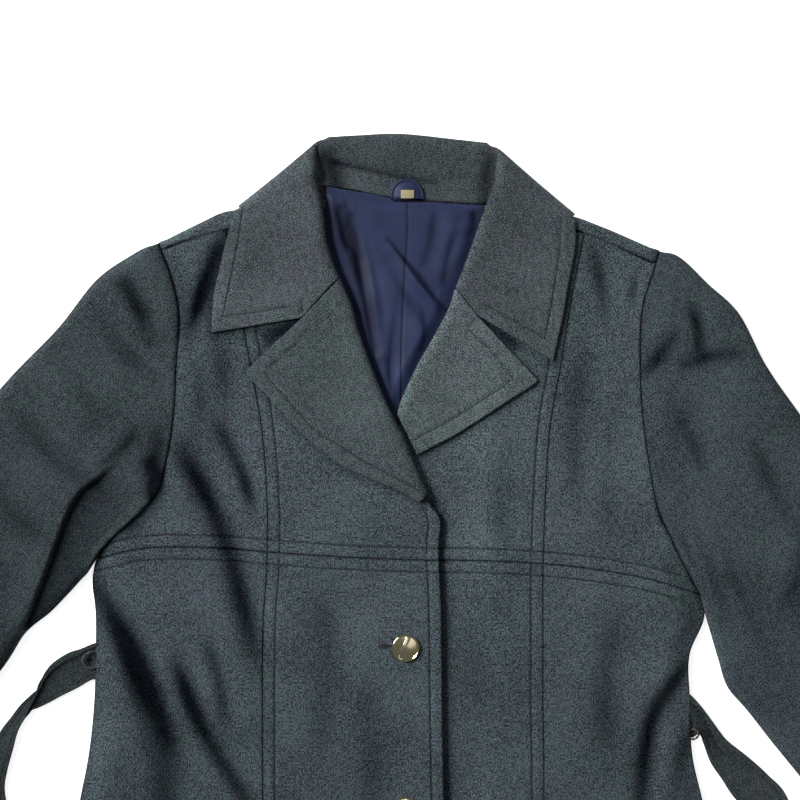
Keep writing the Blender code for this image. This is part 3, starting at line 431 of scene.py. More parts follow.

# The ties: both edges as they lie, their height, how far the band folded along the outer edge stands up and
# how much of the width it takes, and how much shade is painted on the cloth inside it.
TIES = {
    "left": table(
        "outer_across outer_down inner_across inner_down up lift band shade",
        (-259.3, 438.2, -259.3, 471.5, 1.6, 1.8, 0.12, 0.35),
        (-264.9, 439.5, -265.7, 470.9, 1.4, 1.8, 0.16, 0.35),
        (-275.2, 443.8, -278.6, 478.2, 1.1, 1.8, 0.18, 0.40),
        (-285.5, 447.2, -291.5, 484.6, 1.0, 1.8, 0.20, 0.50),
        (-296.7, 454.1, -301.0, 489.8, 1.0, 1.8, 0.22, 0.65),
        (-302.7, 459.7, -307.9, 493.2, 1.1, 1.8, 0.26, 0.80),
        (-307.9, 467.8, -313.0, 495.4, 1.3, 1.8, 0.33, 0.95),
        (-311.3, 477.3, -316.9, 496.9, 1.5, 1.8, 0.45, 1.00),
        (-317.3, 482.9, -319.9, 500.5, 1.4, 1.8, 0.75, 0.90),
        (-326.8, 491.9, -323.4, 504.8, 1.2, 1.8, 1.10, 0.40),
        (-335.4, 503.1, -329.0, 515.1, 1.0, 1.6, 1.20, 0.10),
        (-344.0, 514.3, -333.3, 530.6, 0.8, 1.2, 1.20, 0.00),
        (-350.9, 528.9, -338.0, 547.8, 0.6, 0.9, 1.20, 0.00),
        (-359.0, 552.1, -340.6, 563.0, 0.4, 0.6, 1.20, 0.00),
        (-364.0, 575.0, -338.8, 579.0, 0.2, 0.3, 1.20, 0.00),
        (-361.5, 620.0, -331.5, 619.0, 0.0, 0.0, 1.20, 0.00),
        (-360.0, 680.0, -329.0, 680.0, 0.0, 0.0, 1.20, 0.00),
        (-367.5, 760.0, -336.5, 760.0, 0.0, 0.0, 1.20, 0.00),
        (-365.5, 850.0, -334.5, 850.0, 0.0, 0.0, 1.20, 0.00),
        (-377.5, 940.0, -346.5, 940.0, 0.0, 0.0, 1.20, 0.00),
    ),
    "right": table(
        "outer_across outer_down inner_across inner_down up lift band shade",
        (249.0, 482.5, 249.0, 520.3, 1.6, 1.6, 0.16, 0.55),
        (252.0, 485.0, 252.8, 520.3, 1.4, 1.6, 0.18, 0.55),
        (259.7, 493.6, 256.7, 517.7, 1.2, 1.6, 0.24, 0.60),
        (267.5, 504.0, 258.9, 518.6, 1.2, 1.6, 0.34, 0.65),
        (276.9, 516.9, 261.4, 525.5, 1.2, 1.6, 0.42, 0.70),
        (282.9, 523.7, 267.5, 541.8, 1.0, 1.4, 0.40, 0.45),
        (299.3, 536.6, 277.8, 557.3, 0.8, 1.0, 0.22, 0.15),
        (316.5, 552.1, 289.0, 573.6, 0.6, 0.5, 0.16, 0.05),
        (333.7, 571.9, 307.0, 589.0, 0.4, 0.2, 0.16, 0.00),
        (348.7, 618.0, 319.5, 626.0, 0.2, 0.0, 0.16, 0.00),
        (355.5, 680.0, 324.5, 681.0, 0.0, 0.0, 0.16, 0.00),
        (365.5, 760.0, 334.5, 760.0, 0.0, 0.0, 0.16, 0.00),
        (362.5, 850.0, 331.5, 850.0, 0.0, 0.0, 0.16, 0.00),
        (371.5, 939.0, 340.5, 941.0, 0.0, 0.0, 0.16, 0.00),
        (375.5, 985.0, 344.5, 985.0, 0.0, 0.0, 0.16, 0.00),
    ),
}
LOOPS = {
    "left": table(
        "step across down up",
        (0, -260.2, 446.6, 4.4),
        (1, -266.6, 446.4, 7.2),
        (2, -271.3, 449.6, 7.8),
        (3, -273.1, 454.1, 7.6),
        (4, -270.9, 458.8, 7.2),
        (5, -265.7, 460.7, 6.6),
        (6, -260.2, 459.0, 4.2),
    ),
    "right": table(
        "step across down up",
        (0, 249.8, 513.0, 3.4),
        (1, 253.8, 513.4, 6.0),
        (2, 257.0, 517.4, 6.4),
        (3, 254.2, 521.2, 5.4),
        (4, 249.8, 521.8, 2.6),
    ),
}
# Where shade is painted on the left tie, in the hole of its thread loop.
LOOP_HOLE_SHADE = (-267.4, 453.6)


def smooth(stations, values, at):
    """A smooth curve through the values at the stations. Values may have several columns."""
    stations = np.asarray(stations, float)
    values = np.asarray(values, float)
    at = np.asarray(at, float)
    if values.ndim > 1:
        return np.stack([smooth(stations, column, at) for column in values.T], axis=-1)
    slopes = np.gradient(values, stations)
    before = np.clip(np.searchsorted(stations, at) - 1, 0, len(stations) - 2)
    step = stations[before + 1] - stations[before]
    t = np.clip((at - stations[before]) / step, 0, 1)
    return (
        (2 * t**3 - 3 * t**2 + 1) * values[before]
        + (t**3 - 2 * t**2 + t) * step * slopes[before]
        + (3 * t**2 - 2 * t**3) * values[before + 1]
        + (t**3 - t**2) * step * slopes[before + 1]
    )


def ease(start, end, value):
    """0 before start, 1 after end, and smooth between them."""
    t = np.clip((np.asarray(value, float) - start) / (end - start), 0, 1)
    return t * t * (3 - 2 * t)


def hump(distance, width):
    """1 at no distance, fading to 0 on both sides over about twice the width."""
    return np.exp(-((distance / width) ** 2))


def quarter_round(distance, reach, least=0):
    """The rise of a rounded edge: 0 at the edge and 1 from the reach inwards."""
    return np.sqrt(np.clip(1 - (1 - np.clip(distance / reach, 0, 1)) ** 2, least, 1))


def follow(line, across):
    """How far down a line from the tables runs, at places across the coat."""
    return smooth(line["across"], line["down"], across)


def line_of(line):
    """A line from the tables as its points."""
    return np.column_stack([line["across"], line["down"]])


def lengths_along(points):
    """The length of a path up to each of its points."""
    return np.concatenate([[0], np.cumsum(np.linalg.norm(np.diff(points, axis=0), axis=1))])


def directions(ways):
    """The same ways, each of length 1."""
    return ways / np.linalg.norm(ways, axis=1)[:, None]


def ripple(across, down, size, seed):
    """Soft uneven waves about 0, a few times the size across, the same each run."""
    total = 0
    for turn in range(5):
        angle = seed * 1.7 + turn * 1.26
        pitch = size * (0.7 + 0.23 * turn)
        way = across * math.cos(angle) + down * math.sin(angle)
        sway = 0.9 * np.sin(down / (pitch * 1.9) + turn)
        total = total + np.sin(way / pitch + seed * 3.1 + turn * 2.2 + sway)
    return total / 5


def rows_at(columns, prefix, share):
    """The points of a table's columns such as edge_across and edge_down, at shares of its length."""
    points = np.stack([columns[prefix + "_across"], columns[prefix + "_down"]], axis=1)
    return smooth(np.arange(len(points)), points, np.asarray(share) * (len(points) - 1))


def body_line(column, down):
    """How far across an edge or princess seam of the body runs."""
    return smooth(BODY["down"], BODY[column], down)


def left_opening(down):
    return smooth(LEFT_OPENING["down"], LEFT_OPENING["across"], down)


def right_opening(down):
    return smooth(RIGHT_OPENING["down"], RIGHT_OPENING["across"], down)


def tuck(down, start, end):
    """How far a front's edge lies back under its lapel and collar."""
    near_neck = 16 * (1 - ease(65, 130, down))
    return (TUCK + near_neck) * (1 - ease(start, end, down))


def left_front_edge(down):
    return left_opening(down) - tuck(down, 306, 334)


def right_front_edge(down):
    return right_opening(down) + tuck(down, 252, 280)


def along_line(line, across, down):
    """For each point: its distance to a polyline, which side it is on, and how far along from 0 to 1."""
    nearest = np.full(np.broadcast(across, down).shape, 1e9)
    side, along = np.zeros(nearest.shape), np.zeros(nearest.shape)
    for number, (start, end) in enumerate(zip(line, line[1:])):
        way = end - start
        off_across, off_down = across - start[0], down - start[1]
        t = np.clip((off_across * way[0] + off_down * way[1]) / (way @ way), 0, 1)
        apart = np.hypot(off_across - t * way[0], off_down - t * way[1])
        closer = apart < nearest
        nearest = np.where(closer, apart, nearest)
        side = np.where(closer, np.sign(way[1] * off_across - way[0] * off_down), side)
        along = np.where(closer, (number + t) / (len(line) - 1), along)
    return nearest, side, along


def creased(creases, across, down):
    """How far the creases press the cloth down at each point, and how much shade is painted along their steep
    walls.
    """
    across, down = np.broadcast_arrays(np.asarray(across, float), np.asarray(down, float))
    press, dark = np.zeros(across.shape), np.zeros(across.shape)
    share = np.linspace(0, 1, 13)
    for fold, depth in enumerate(creases["depth"]):
        ends = np.array([[creases[f"{axis}_{n}"][fold] for axis in ("across", "down")] for n in (1, 2, 3)])
        line = smooth([0, 0.5, 1], ends, share)
        half = creases["half_width"][fold]
        low, high = line.min(axis=0) - 4 * half, line.max(axis=0) + 4 * half
        near = (across > low[0]) & (across < high[0]) & (down > low[1]) & (down < high[1])
        if not near.any():
            continue
        apart, side, along = along_line(line, across[near], down[near])
        uneven = 1 + 0.2 * np.sin(along * 9 + fold * 1.3)
        strength = np.sin(math.pi * np.clip(along, 0.015, 0.985)) ** 0.6 * uneven
        # The wall that faces right is the steep one, and the table's line runs along it.
        offset = apart * side - math.copysign(0.45 * half, depth)
        width = half * np.where((offset > 0) == (depth < 0), 0.66, 1.7)
        press[near] += depth * strength * hump(offset, width)
        # Painted shade lies along the table's line, on the steep wall; ridges get half as much.
        dark[near] += abs(depth) * strength * hump(apart, half) * (1.0 if depth > 0 else 0.5)
    return press, dark


def distance_to(lines, across, down):
    """Distance from each point to the nearest of the polylines."""
    return np.min([along_line(np.asarray(line, float), across, down)[0] for line in lines], axis=0)


def shaded(places, across, down):
    """How much shade is painted at each point, from a table of shaded places."""
    total = 0
    for line, width, strength in places:
        total = total + strength * hump(distance_to([line], across, down), width)
    return total


def stitch_sink(distance):
    """How far a row of stitches pulls the cloth down, with the cloth puffed a little to each side."""
    return 0.85 * hump(distance, 0.75) - 0.22 * hump(distance - 4.4, 2.8)


def back_low(across, down):
    """The underside of the back, which lies on the collar's fall behind the neck."""
    over_fall = (1 - ease(64, 125, down)) * (1 - ease(132, 165, np.abs(np.asarray(across) - 6)))
    return BACK_RISE * over_fall


def back_top(across, down):
    return back_low(across, down) + WOOL


def side_fade(across, down):
    """How much of the loft stays: less of it towards the side seams below the armholes."""
    inside = np.minimum(across - body_line("left_edge", down), body_line("right_edge", down) - across)
    return 1 - ease(345, 395, down) * (1 - ease(-2, 24, inside))


def front_lift(across, down):
    """How far a front stands off the back where nothing lies between them."""
    swell = LOFT + 0.55 * ripple(across, down, 26, 2.0)
    plain = swell * side_fade(across, down) - 1.75 * creased(CREASES, across, down)[0]
    return np.where(plain > 0.6, plain, 0.6 * np.exp(np.minimum(plain, 0.6) / 0.6 - 1))


def roll_room(distance, down, start, end):
    """The height that a front needs over the turned facing and the lining beside the opening."""
    room = LINING_REST + SATIN + TURNED + 1.5 - REST
    return room * (1 - ease(26, 62, distance)) * (1 - ease(start, end, down))


def soft_max(first, second):
    """The larger of two heights, with a soft change between them."""
    return (first + second + np.sqrt((first - second) ** 2 + 0.5)) / 2


def right_front_low(across, down):
    under_left = 1 - ease(50, 88, across)
    below_break = ease(215, 250, down)
    lift = front_lift(across, down)
    lift = lift + (OVERLAP_LOFT - lift) * under_left * below_break
    room = roll_room(across - right_opening(down), down, 232, 270)
    return back_top(across, down) + REST + soft_max(lift, room)


def left_front_low(across, down):
    lift = front_lift(across, down)
    room = roll_room(left_opening(down) - across, down, 400, 440)
    over_right = ease(200, 252, down) * ease(-82, -26, across)
    on_right = right_front_low(np.maximum(across, -24), down) + WOOL - back_top(across, down)
    with_turn_back = on_right + 0.5 + (TURNED + 0.8) * (1 - ease(322, 354, down))
    need = soft_max(room * (1 - ease(318, 350, down)), with_turn_back * over_right)
    return back_top(across, down) + REST + soft_max(lift, need)


def front_low(side, across, down):
    return left_front_low(across, down) if side == "left" else right_front_low(across, down)


def leaf_up(side, across, down):
    """Middle of the wall of a lapel or of the fall, where it lies on a front."""
    return front_low(side, across, down) + WOOL + LEAF_GAP + TURNED / 2


def turn_back_up(side, across, down):
    """Middle of the wall of a facing or stand, where it lies between a front and the lining."""
    over_lining = back_top(across, down) + LINING_REST + SATIN + 0.35 + TURNED / 2
    return np.maximum(front_low(side, across, down) - 0.85 - TURNED / 2, over_lining)


def crossing(line, seam, guess):
    """How far down a line that runs down the body meets a seam that runs across it."""
    down = np.asarray(guess, float)
    for _ in range(14):
        down = follow(seam, line(down))
    return down


def armhole_line(side):
    def line(down):
        return body_line(f"{side}_edge", down)

    return line


def place(points):
    """Points in millimetres, as across, down and up, made metres in the shared frame."""
    points = np.asarray(points, float)
    x = ORIGIN_X + points[..., 0] * MM
    y = ORIGIN_Y - points[..., 1] * MM
    return np.stack([x, y, points[..., 2] * MM], axis=-1)


def set_down(shape, across, down, up):
    """Moves a shape that was made about the origin to its place on the coat."""
    bmesh.ops.translate(shape, vec=Vector(place((across, down, up))), verts=list(shape.verts))


def face_outwards(shape):
    bmesh.ops.recalc_face_normals(shape, faces=list(shape.faces))


def object_from(name, mesh_data, finish, angle=60):
    """An object with its finish from a bmesh, smooth but for edges sharper than the angle in degrees."""
    mesh = bpy.data.meshes.new(name)
    mesh_data.to_mesh(mesh)
    mesh_data.free()
    mesh.materials.append(finish)
    mesh.shade_smooth()
    if angle < 180:
        mesh.set_sharp_from_angle(angle=math.radians(angle))
    made = bpy.data.objects.new(name, mesh)
    bpy.context.scene.collection.objects.link(made)
    return made


def cloth_grid(points, weave, shade=0.0):
    """A bmesh grid laid on rows and columns of points, each with its place in the weave and its painted
    shade.
    """
    rows, columns = points.shape[:2]
    grid = bmesh.new()
    bmesh.ops.create_grid(grid, x_segments=columns - 1, y_segments=rows - 1, size=1)
    layer = grid.verts.layers.float_vector.new("weave")
    # Painted shade goes into its own attribute, and the finishes darken their colour by it.
    hollow = grid.verts.layers.float.new("hollow")
    shades = np.broadcast_to(shade, (rows, columns)).reshape(-1)
    order = sorted(grid.verts, key=lambda v: (round(v.co.y, 5), round(v.co.x, 5)))
    places, threads = place(points).reshape(-1, 3), weave.reshape(-1, 2) * MM
    for vert, point, thread, dark in zip(order, places, threads, shades):
        vert.co = point
        vert[layer] = (thread[0], thread[1], 0)
        vert[hollow] = dark
    return grid


def panel(name, top_points, weave, wall, finish, shade=0.0):
    """A panel: its upper face as a grid, extruded straight down by the wall."""
    grid = cloth_grid(top_points, weave, shade)
    grown = bmesh.ops.extrude_face_region(grid, geom=list(grid.faces))
    low = [part for part in grown["geom"] if isinstance(part, bmesh.types.BMVert)]
    bmesh.ops.translate(grid, vec=Vector((0, 0, -wall * MM)), verts=low)
    face_outwards(grid)
    return object_from(name, grid, finish)


def walled(made, wall, offset, thinner=None):
    """A wall of cloth given to a surface, thinner where the share of it says so."""
    solid = made.modifiers.new("Wall", "SOLIDIFY")
    solid.thickness = wall * MM
    solid.offset = offset
    solid.use_even_offset = False
    if thinner is not None:
        group = made.vertex_groups.new(name="wall_share")
        steps = np.round(thinner, 2)
        for share in np.unique(steps):
            group.add([int(i) for i in np.nonzero(steps == share)[0]], float(share), "REPLACE")
        solid.vertex_group = "wall_share"
    return made


def dress(piece, slot, *nodes):
    """Fixes a piece to the coat and hides the plain solids that it stands for. The slot, its cloth or metal,
    is not used.
    """
    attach(piece, ROOT)
    if nodes:
        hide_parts(*nodes)
    return piece


def edge_marks(stitched):
    """Distances in from an edge at which a panel has a row of points."""
    marks = [0, 0.35, 0.8, 1.4, 2.3, 3.6, 5.4]
    if stitched:
        marks += [7.4, 8.7, 9.4, 9.9, EDGE_STITCH, 10.9, 11.4, 12.1, 13.4, 15.6]
    return np.array(marks)


def between(start, end, first_marks, last_marks, count):
    """Places from start to end, which may be arrays: the marks in from each, and even steps between."""
    start, end = np.asarray(start, float)[..., None], np.asarray(end, float)[..., None]
    room = np.minimum(1, np.abs(end - start) / (first_marks[-1] + last_marks[-1] + 4.0))
    sign = np.sign(end - start)
    head = start + sign * first_marks * room
    tail = end - sign * last_marks[::-1] * room
    share = np.linspace(0, 1, count + 2)[1:-1]
    middle = head[..., -1:] * (1 - share) + tail[..., :1] * share
    return np.concatenate([head, middle, tail], axis=-1)


def front_lines(side, strip, level):
    """The rows of topstitching that a front panel carries."""
    lines = []
    princess = f"{side}_princess"
    upper = level == "upper"
    if strip == "centre":
        rows = np.linspace(75, 360, 60) if upper else np.linspace(366, HEM - 22, 120)
        from_seam = EDGE_STITCH if side == "left" else -EDGE_STITCH
        lines.append(np.column_stack([body_line(princess, rows) + from_seam, rows]))
        if side == "left":
            rows = np.linspace(318, 362, 12) if upper else rows
            lines.append(np.column_stack([left_opening(rows) - EDGE_STITCH, rows]))
        inner = left_front_edge if side == "left" else right_front_edge
        ends = body_line(princess, BUST_DOWN), inner(BUST_DOWN)
    else:
        ends = body_line(f"{side}_edge", BUST_DOWN), body_line(princess, BUST_DOWN)
    across = np.linspace(float(ends[0]), float(ends[1]), 40)
    gap = -EDGE_STITCH if upper else EDGE_STITCH
    lines.append(np.column_stack([across, follow(BUST_SEAM, across) + gap]))
    return lines


def front_panel(side, strip, level, finish):
    """One of the eight front panels, its edges rolled down into the seams."""
    princess, outer = f"{side}_princess", f"{side}_edge"
    inner_edge = left_front_edge if side == "left" else right_front_edge
    if strip == "side":
        near, far = (lambda d: body_line(outer, d)), (lambda d: body_line(princess, d))
        near_marks, far_marks = edge_marks(False), edge_marks(False)
    else:
        near, far = (lambda d: body_line(princess, d)), inner_edge
        near_marks, far_marks = edge_marks(True), edge_marks(side == "left")
    from_seam = 1 if side == "left" else -1
    gap = 0.12
    columns = 24 if strip == "side" else 20
    shares = between(np.array(0.0), np.array(100.0), near_marks * 0.7, far_marks * 0.7, columns) / 100

    def column_line(down):
        return near(down) * (1 - shares) + far(down) * shares

    bust = crossing(column_line, BUST_SEAM, np.full(shares.shape, 365.0))
    if level == "upper":
        shoulder = crossing(column_line, SHOULDER_SEAM, np.full(shares.shape, 85.0))
        down = between(shoulder + gap, bust - gap, edge_marks(False), edge_marks(True), 64).T
    else:
        down = between(bust + gap, np.full(shares.shape, HEM), edge_marks(True), edge_marks(False), 130).T
    far_gap = gap if strip == "side" else 0.0
    across = np.empty_like(down)
    for column in range(down.shape[1]):
        row_marks = between(
            near(down[:, column]) + from_seam * gap,
            far(down[:, column]) - from_seam * far_gap,
            near_marks,
            far_marks,
            columns,
        )
        across[:, column] = row_marks[:, column]
    top = front_low(side, across, down) + WOOL
    from_near = np.abs(across - near(down))
    from_far = np.abs(far(down) - across)
    from_top = np.abs(down - down[:1])
    from_bottom = np.abs(down[-1:] - down)
    edges = np.minimum(np.minimum(from_near, from_far), np.minimum(from_top, from_bottom))
    rolled_down = 1.1 * (1 - quarter_round(edges, 1.5))
    lines = front_lines(side, strip, level)
    apart = distance_to(lines, across, down)
    pucker = 0.12 * np.sin(down / 2.1 + across * 0.11) * hump(apart, 5)
    lines_near_seam = 0.15 * hump(edges - 5.2, 2.6)
    top = top - rolled_down - stitch_sink(apart) + lines_near_seam + pucker
    top = top + 0.10 * ripple(across, down, 5.0, 4.0)
    points = np.stack([across, down, top], axis=-1)
    name = f"front_{side}_{strip}_{level}"
    # Painted shade on the panel: along the crease walls, in the seams and stitch rows, at the listed shaded
    # places, beside the edges of collar, lapels and sleeves that lie over it, and on the right front a
    # painted shadow beside the left front's edge.
    shade = 0.34 * creased(CREASES, across, down)[1] + 0.5 * hump(edges, 1.2)
    shade = shade + 0.5 * hump(apart, 0.8) + shaded(FRONT_SHADES, across, down)
    shade = shade + 0.42 * hump(distance_to(COVERING_EDGES, across, down), 5.5)
    shade = shade + 0.6 * hump(distance_to(SLEEVE_EDGES, across, down), 2.6)
    if side == "right":
        shade = shade + 0.65 * hump(across - left_opening(down), 5) * ease(290, 325, down)
    weave = np.stack([across, down], axis=-1)
    made = panel(f"cloth_{name}", points, weave, WOOL - 0.5, finish, np.minimum(shade, 1))
    dress(made, "wool", name)
    width = float(np.abs(far(down[:, -1]) - near(down[:, 0])).max())
    return made


def back_panel(finish):
    """The back, from the hem over the shoulder folds to the shoulder seams, open at the neck."""
    neck_start, neck_end = -96.0, 102.0
    counts = (24, 60, 24)
    columns = np.concatenate(
        [
            np.linspace(0, 0.22, counts[0]),
            np.linspace(0.225, 0.775, counts[1]),
            np.linspace(0.78, 1, counts[2]),
        ]
    )
    ends = [armhole_line(s)(crossing(armhole_line(s), SHOULDER_SEAM, 100.0)) for s in SIDES]
    top_across = np.concatenate(
        [
            np.linspace(ends[0] + 0.2, neck_start, counts[0]),
            np.linspace(neck_start + 3, neck_end - 3, counts[1]),
            np.linspace(neck_end, ends[1] - 0.2, counts[2]),
        ]
    )
    at_neck = (top_across > neck_start) & (top_across < neck_end)
    neck_down = np.maximum(follow(NECK_SEAM, top_across) + 0.9, 57.0)
    fold_down = follow(SHOULDER_FOLD, top_across)
    seam_down = follow(SHOULDER_SEAM, top_across)
    on_left = left_front_low(top_across, seam_down)
    on_right = right_front_low(top_across, seam_down)
    top_up = np.where(top_across < 0, on_left, on_right)
    bottom_up = back_low(top_across, seam_down)
    middle_high = (top_up + bottom_up + WOOL) / 2
    radius = (top_up - bottom_up) / 2
    flat_top = np.where(at_neck, neck_down, fold_down + radius + WOOL / 2)
    break_down = BUST_SEAM["down"][0] + (BUST_SEAM["down"][-1] - BUST_SEAM["down"][0]) * columns
    share = np.linspace(0, 1, 60)[:, None]
    upper = flat_top * (1 - share) + break_down * share
    share = np.linspace(0, 1, 70)[1:, None]
    lower = break_down * (1 - share) + HEM * share
    down = np.concatenate([upper, lower])
    left = body_line("left_edge", down) + 0.3
    right = body_line("right_edge", down) - 0.3
    across = left * (1 - columns) + right * columns
    to_top = (1 - ease(60, 330, down)) ** 2
    across = across * (1 - to_top) + top_across * to_top
    across[:, 0], across[:, -1] = left[:, 0], right[:, -1]
    middle = back_low(across, down) + WOOL / 2
    flat = np.stack([across, down, middle], axis=-1)[::-1]
    turn = []
    for angle in np.radians(np.linspace(15, 180, 12)):
        over = fold_down + WOOL / 2 + radius * (1 - math.sin(angle))
        turn.append(np.stack([across[0], over, middle_high - radius * math.cos(angle)], axis=-1))
    strip = []
    for share in np.linspace(0, 1, 8)[1:]:
        end_down = np.maximum(seam_down - 0.1, turn[-1][:, 1] + 0.6)
        at = turn[-1][:, 1] * (1 - share) + end_down * share
        dip = 1.0 * ease(0.55, 1.0, share)
        strip.append(np.stack([across[0], at, turn[-1][:, 2] - dip], axis=-1))
    points = np.concatenate([flat, np.array(turn), np.array(strip)])
    for column, edge, inwards in ((0, "left_edge", 1), (-1, "right_edge", -1)):
        points[:, column, 0] = body_line(edge, points[:, column, 1]) + inwards * 0.3
    seam = line_of(SHOULDER_SEAM)
    # Painted shade along the shoulder seam.
    shade = 0.85 * hump(distance_to([seam], points[..., 0], points[..., 1]), 1.5)
    grid = cloth_grid(points, points[..., :2], shade)
    first_turn = len(flat) - 1
    width = points.shape[1]
    neck_faces = []
    order = sorted(grid.faces, key=lambda face: face.index)
    for index, face in enumerate(order):
        row, column = divmod(index, width - 1)
        if row >= first_turn and (at_neck[column] or at_neck[column + 1]):
            neck_faces.append(face)
    bmesh.ops.delete(grid, geom=neck_faces, context="FACES")
    face_outwards(grid)
    made = walled(object_from("cloth_back", grid, finish), WOOL - 0.1, 0)
    dress(made, "wool", "back")
    return made


def step_drop(across, down):
    """How far the left sleeve's lower layer lies below the layer that rolls over it."""
    line = line_of(SLEEVE_STEP)
    apart, side, along = along_line(line, across, down)
    past = apart * side
    strength = ease(0.0, 0.2, along) * (1 - ease(0.94, 1.0, along))
    lip = 0.5 * hump(past + 7, 6)
    return strength * (7.0 * ease(-1.0, 3.0, past) * np.exp(-np.maximum(past, 0) / 30) - lip)


def sleeve(side, finish):
    """A flattened tube: for each section, the upper layer, a fold, the flat underside and a fold."""
    columns = SLEEVES[side]
    outward = -1 if side == "left" else 1
    near = np.array([0, 0.004, 0.01, 0.018, 0.028, 0.042, 0.06, 0.08])
    rings = np.concatenate([near, np.linspace(0.1, 0.985, 140), [0.992, 0.997, 1.0]])
    outer, inner = rows_at(columns, "outer", rings), rows_at(columns, "inner", rings)
    rim = np.array([0, 0.8, 1.8, 3.2, 5.2, 8.0, 12.0])
    share = between(np.array(0.0), np.array(280.0), rim, rim, 104) / 280
    line = armhole_line(side)
    first, last = float(crossing(line, SHOULDER_FOLD, 100.0)), float(crossing(line, BUST_SEAM, 365.0))
    stations = first + 0.3 + (last - first - 0.6) * share
    armhole = np.stack([body_line(f"{side}_edge", stations) + outward * 0.12, stations], axis=-1)
    straight = outer[0] + (inner[0] - outer[0]) * share[:, None]
    bow = armhole - straight
    straighten = np.clip(1 - rings / 0.36, 0, 1)[:, None, None] ** 1.5
    path = outer[:, None] + (inner - outer)[:, None] * share[:, None] + bow * straighten
    across, down = path[..., 0], path[..., 1]
    from_armhole = np.hypot(across - armhole[:, 0], down - armhole[:, 1])
    width = np.linalg.norm(inner - outer, axis=1)[:, None]
    from_rim = np.minimum(share, 1 - share) * width
    cuff = np.clip((1 - rings) * 660, 0, 100)[:, None]
    head = 1.4 * hump(from_armhole - 16, 13) * (1 - ease(0.5, 0.8, share))
    crown = 11.8 + 0.7 * np.sin(math.pi * share) + 0.7 * ripple(across, down, 20, 6.0) + head
    full = crown - 1.6 * creased(SLEEVE_CREASES, across, down)[0]
    if side == "left":
        full = full - step_drop(across, down)
    full = np.maximum(full, 5.4)
    rim_round = np.sqrt(np.clip(1 - (1 - np.clip(from_rim / 11, 0, 1)) ** 2.4, 0.02, 1))
    full = 4.4 + (full - 4.4) * (0.35 + 0.65 * rim_round)
    own_front = front_low(side, armhole[:, 0], armhole[:, 1]) + WOOL
    # Below the armhole the sleeve lies over the side of the body as a rolled edge.
    free = ease(*(296, 322) if side == "left" else (318, 346), armhole[:, 1])
    own_front = own_front + 3.4 * free
    blend = ease(0, 26, from_armhole)
    height = own_front * (1 - blend) + full * blend
    seam_reach = 3.4 + 7.0 * free
    seam_round = 1 - quarter_round(from_armhole, seam_reach)
    seam = (1.5 + 3.4 * free) * seam_round
    hem_turn = 1.0 * (1 - quarter_round(cuff, 2.5))
    height = height - seam - hem_turn + 0.10 * ripple(across, down, 5.0, 1.0)
    ring_points, ring_weave = [], []
    for ring in range(len(rings)):
        way = (inner[ring] - outer[ring]) / width[ring, 0]
        ends = []
        for end, sign in ((-1, 1), (0, -1)):
            high = height[ring, end]
            angles = np.radians(np.linspace(70, -70, 8) if end == -1 else np.linspace(-70, 70, 8))
            bulge = 2.6 if ring else 0.8
            reach = sign * bulge * ease(0, 16, from_armhole[ring, end]) + sign * 0.6
            sway = way * reach
            for angle in angles:
                ends.append(
                    (
                        across[ring, end] + sway[0] * math.cos(angle),
                        down[ring, end] + sway[1] * math.cos(angle),
                        high / 2 * (1 + math.sin(angle)),
                    )
                )
        top = np.stack([across[ring], down[ring], height[ring]], axis=-1)
        thin = slice(None, None, -3)
        bottom = np.stack([across[ring], down[ring], np.zeros_like(across[ring])], axis=-1)[thin]
        around = np.concatenate([top, ends[:8], bottom, ends[8:], top[:1]])
        ring_points.append(around)
        ring_weave.append(around[:, :2] @ np.array([[0.74, 0.67 * outward], [-0.67 * outward, 0.74]]))
    points = np.array(ring_points)
    # Painted shade on the sleeve: along its creases, at its listed shaded places, a painted shadow on the
    # left sleeve's lower layer below the rolled step, and along the armhole seam.
    dark = 0.3 * creased(SLEEVE_CREASES, points[..., 0], points[..., 1])[1]
    dark = dark + shaded(SLEEVE_SHADES, points[..., 0], points[..., 1])
    if side == "left":
        dark = dark + 0.14 * np.maximum(step_drop(points[..., 0], points[..., 1]), 0)
    to_seam = distance_to([armhole[::4]], points[..., 0], points[..., 1])
    dark = dark + 0.5 * hump(to_seam, 1.6)
    tube = cloth_grid(points, np.array(ring_weave), np.minimum(dark, 1))
    bmesh.ops.remove_doubles(tube, verts=list(tube.verts), dist=1e-7)
    face_outwards(tube)
    made = object_from(f"cloth_sleeve_{side}", tube, finish)
    underside = sum(face.normal.z * face.area for face in made.data.polygons if face.center.z < 0.02 * MM)
    walled(made, WOOL - 0.5, -1 if underside < 0 else 1)
    dress(made, "wool", f"sleeve_{side}")
    around = 2 * width + 20
    return made


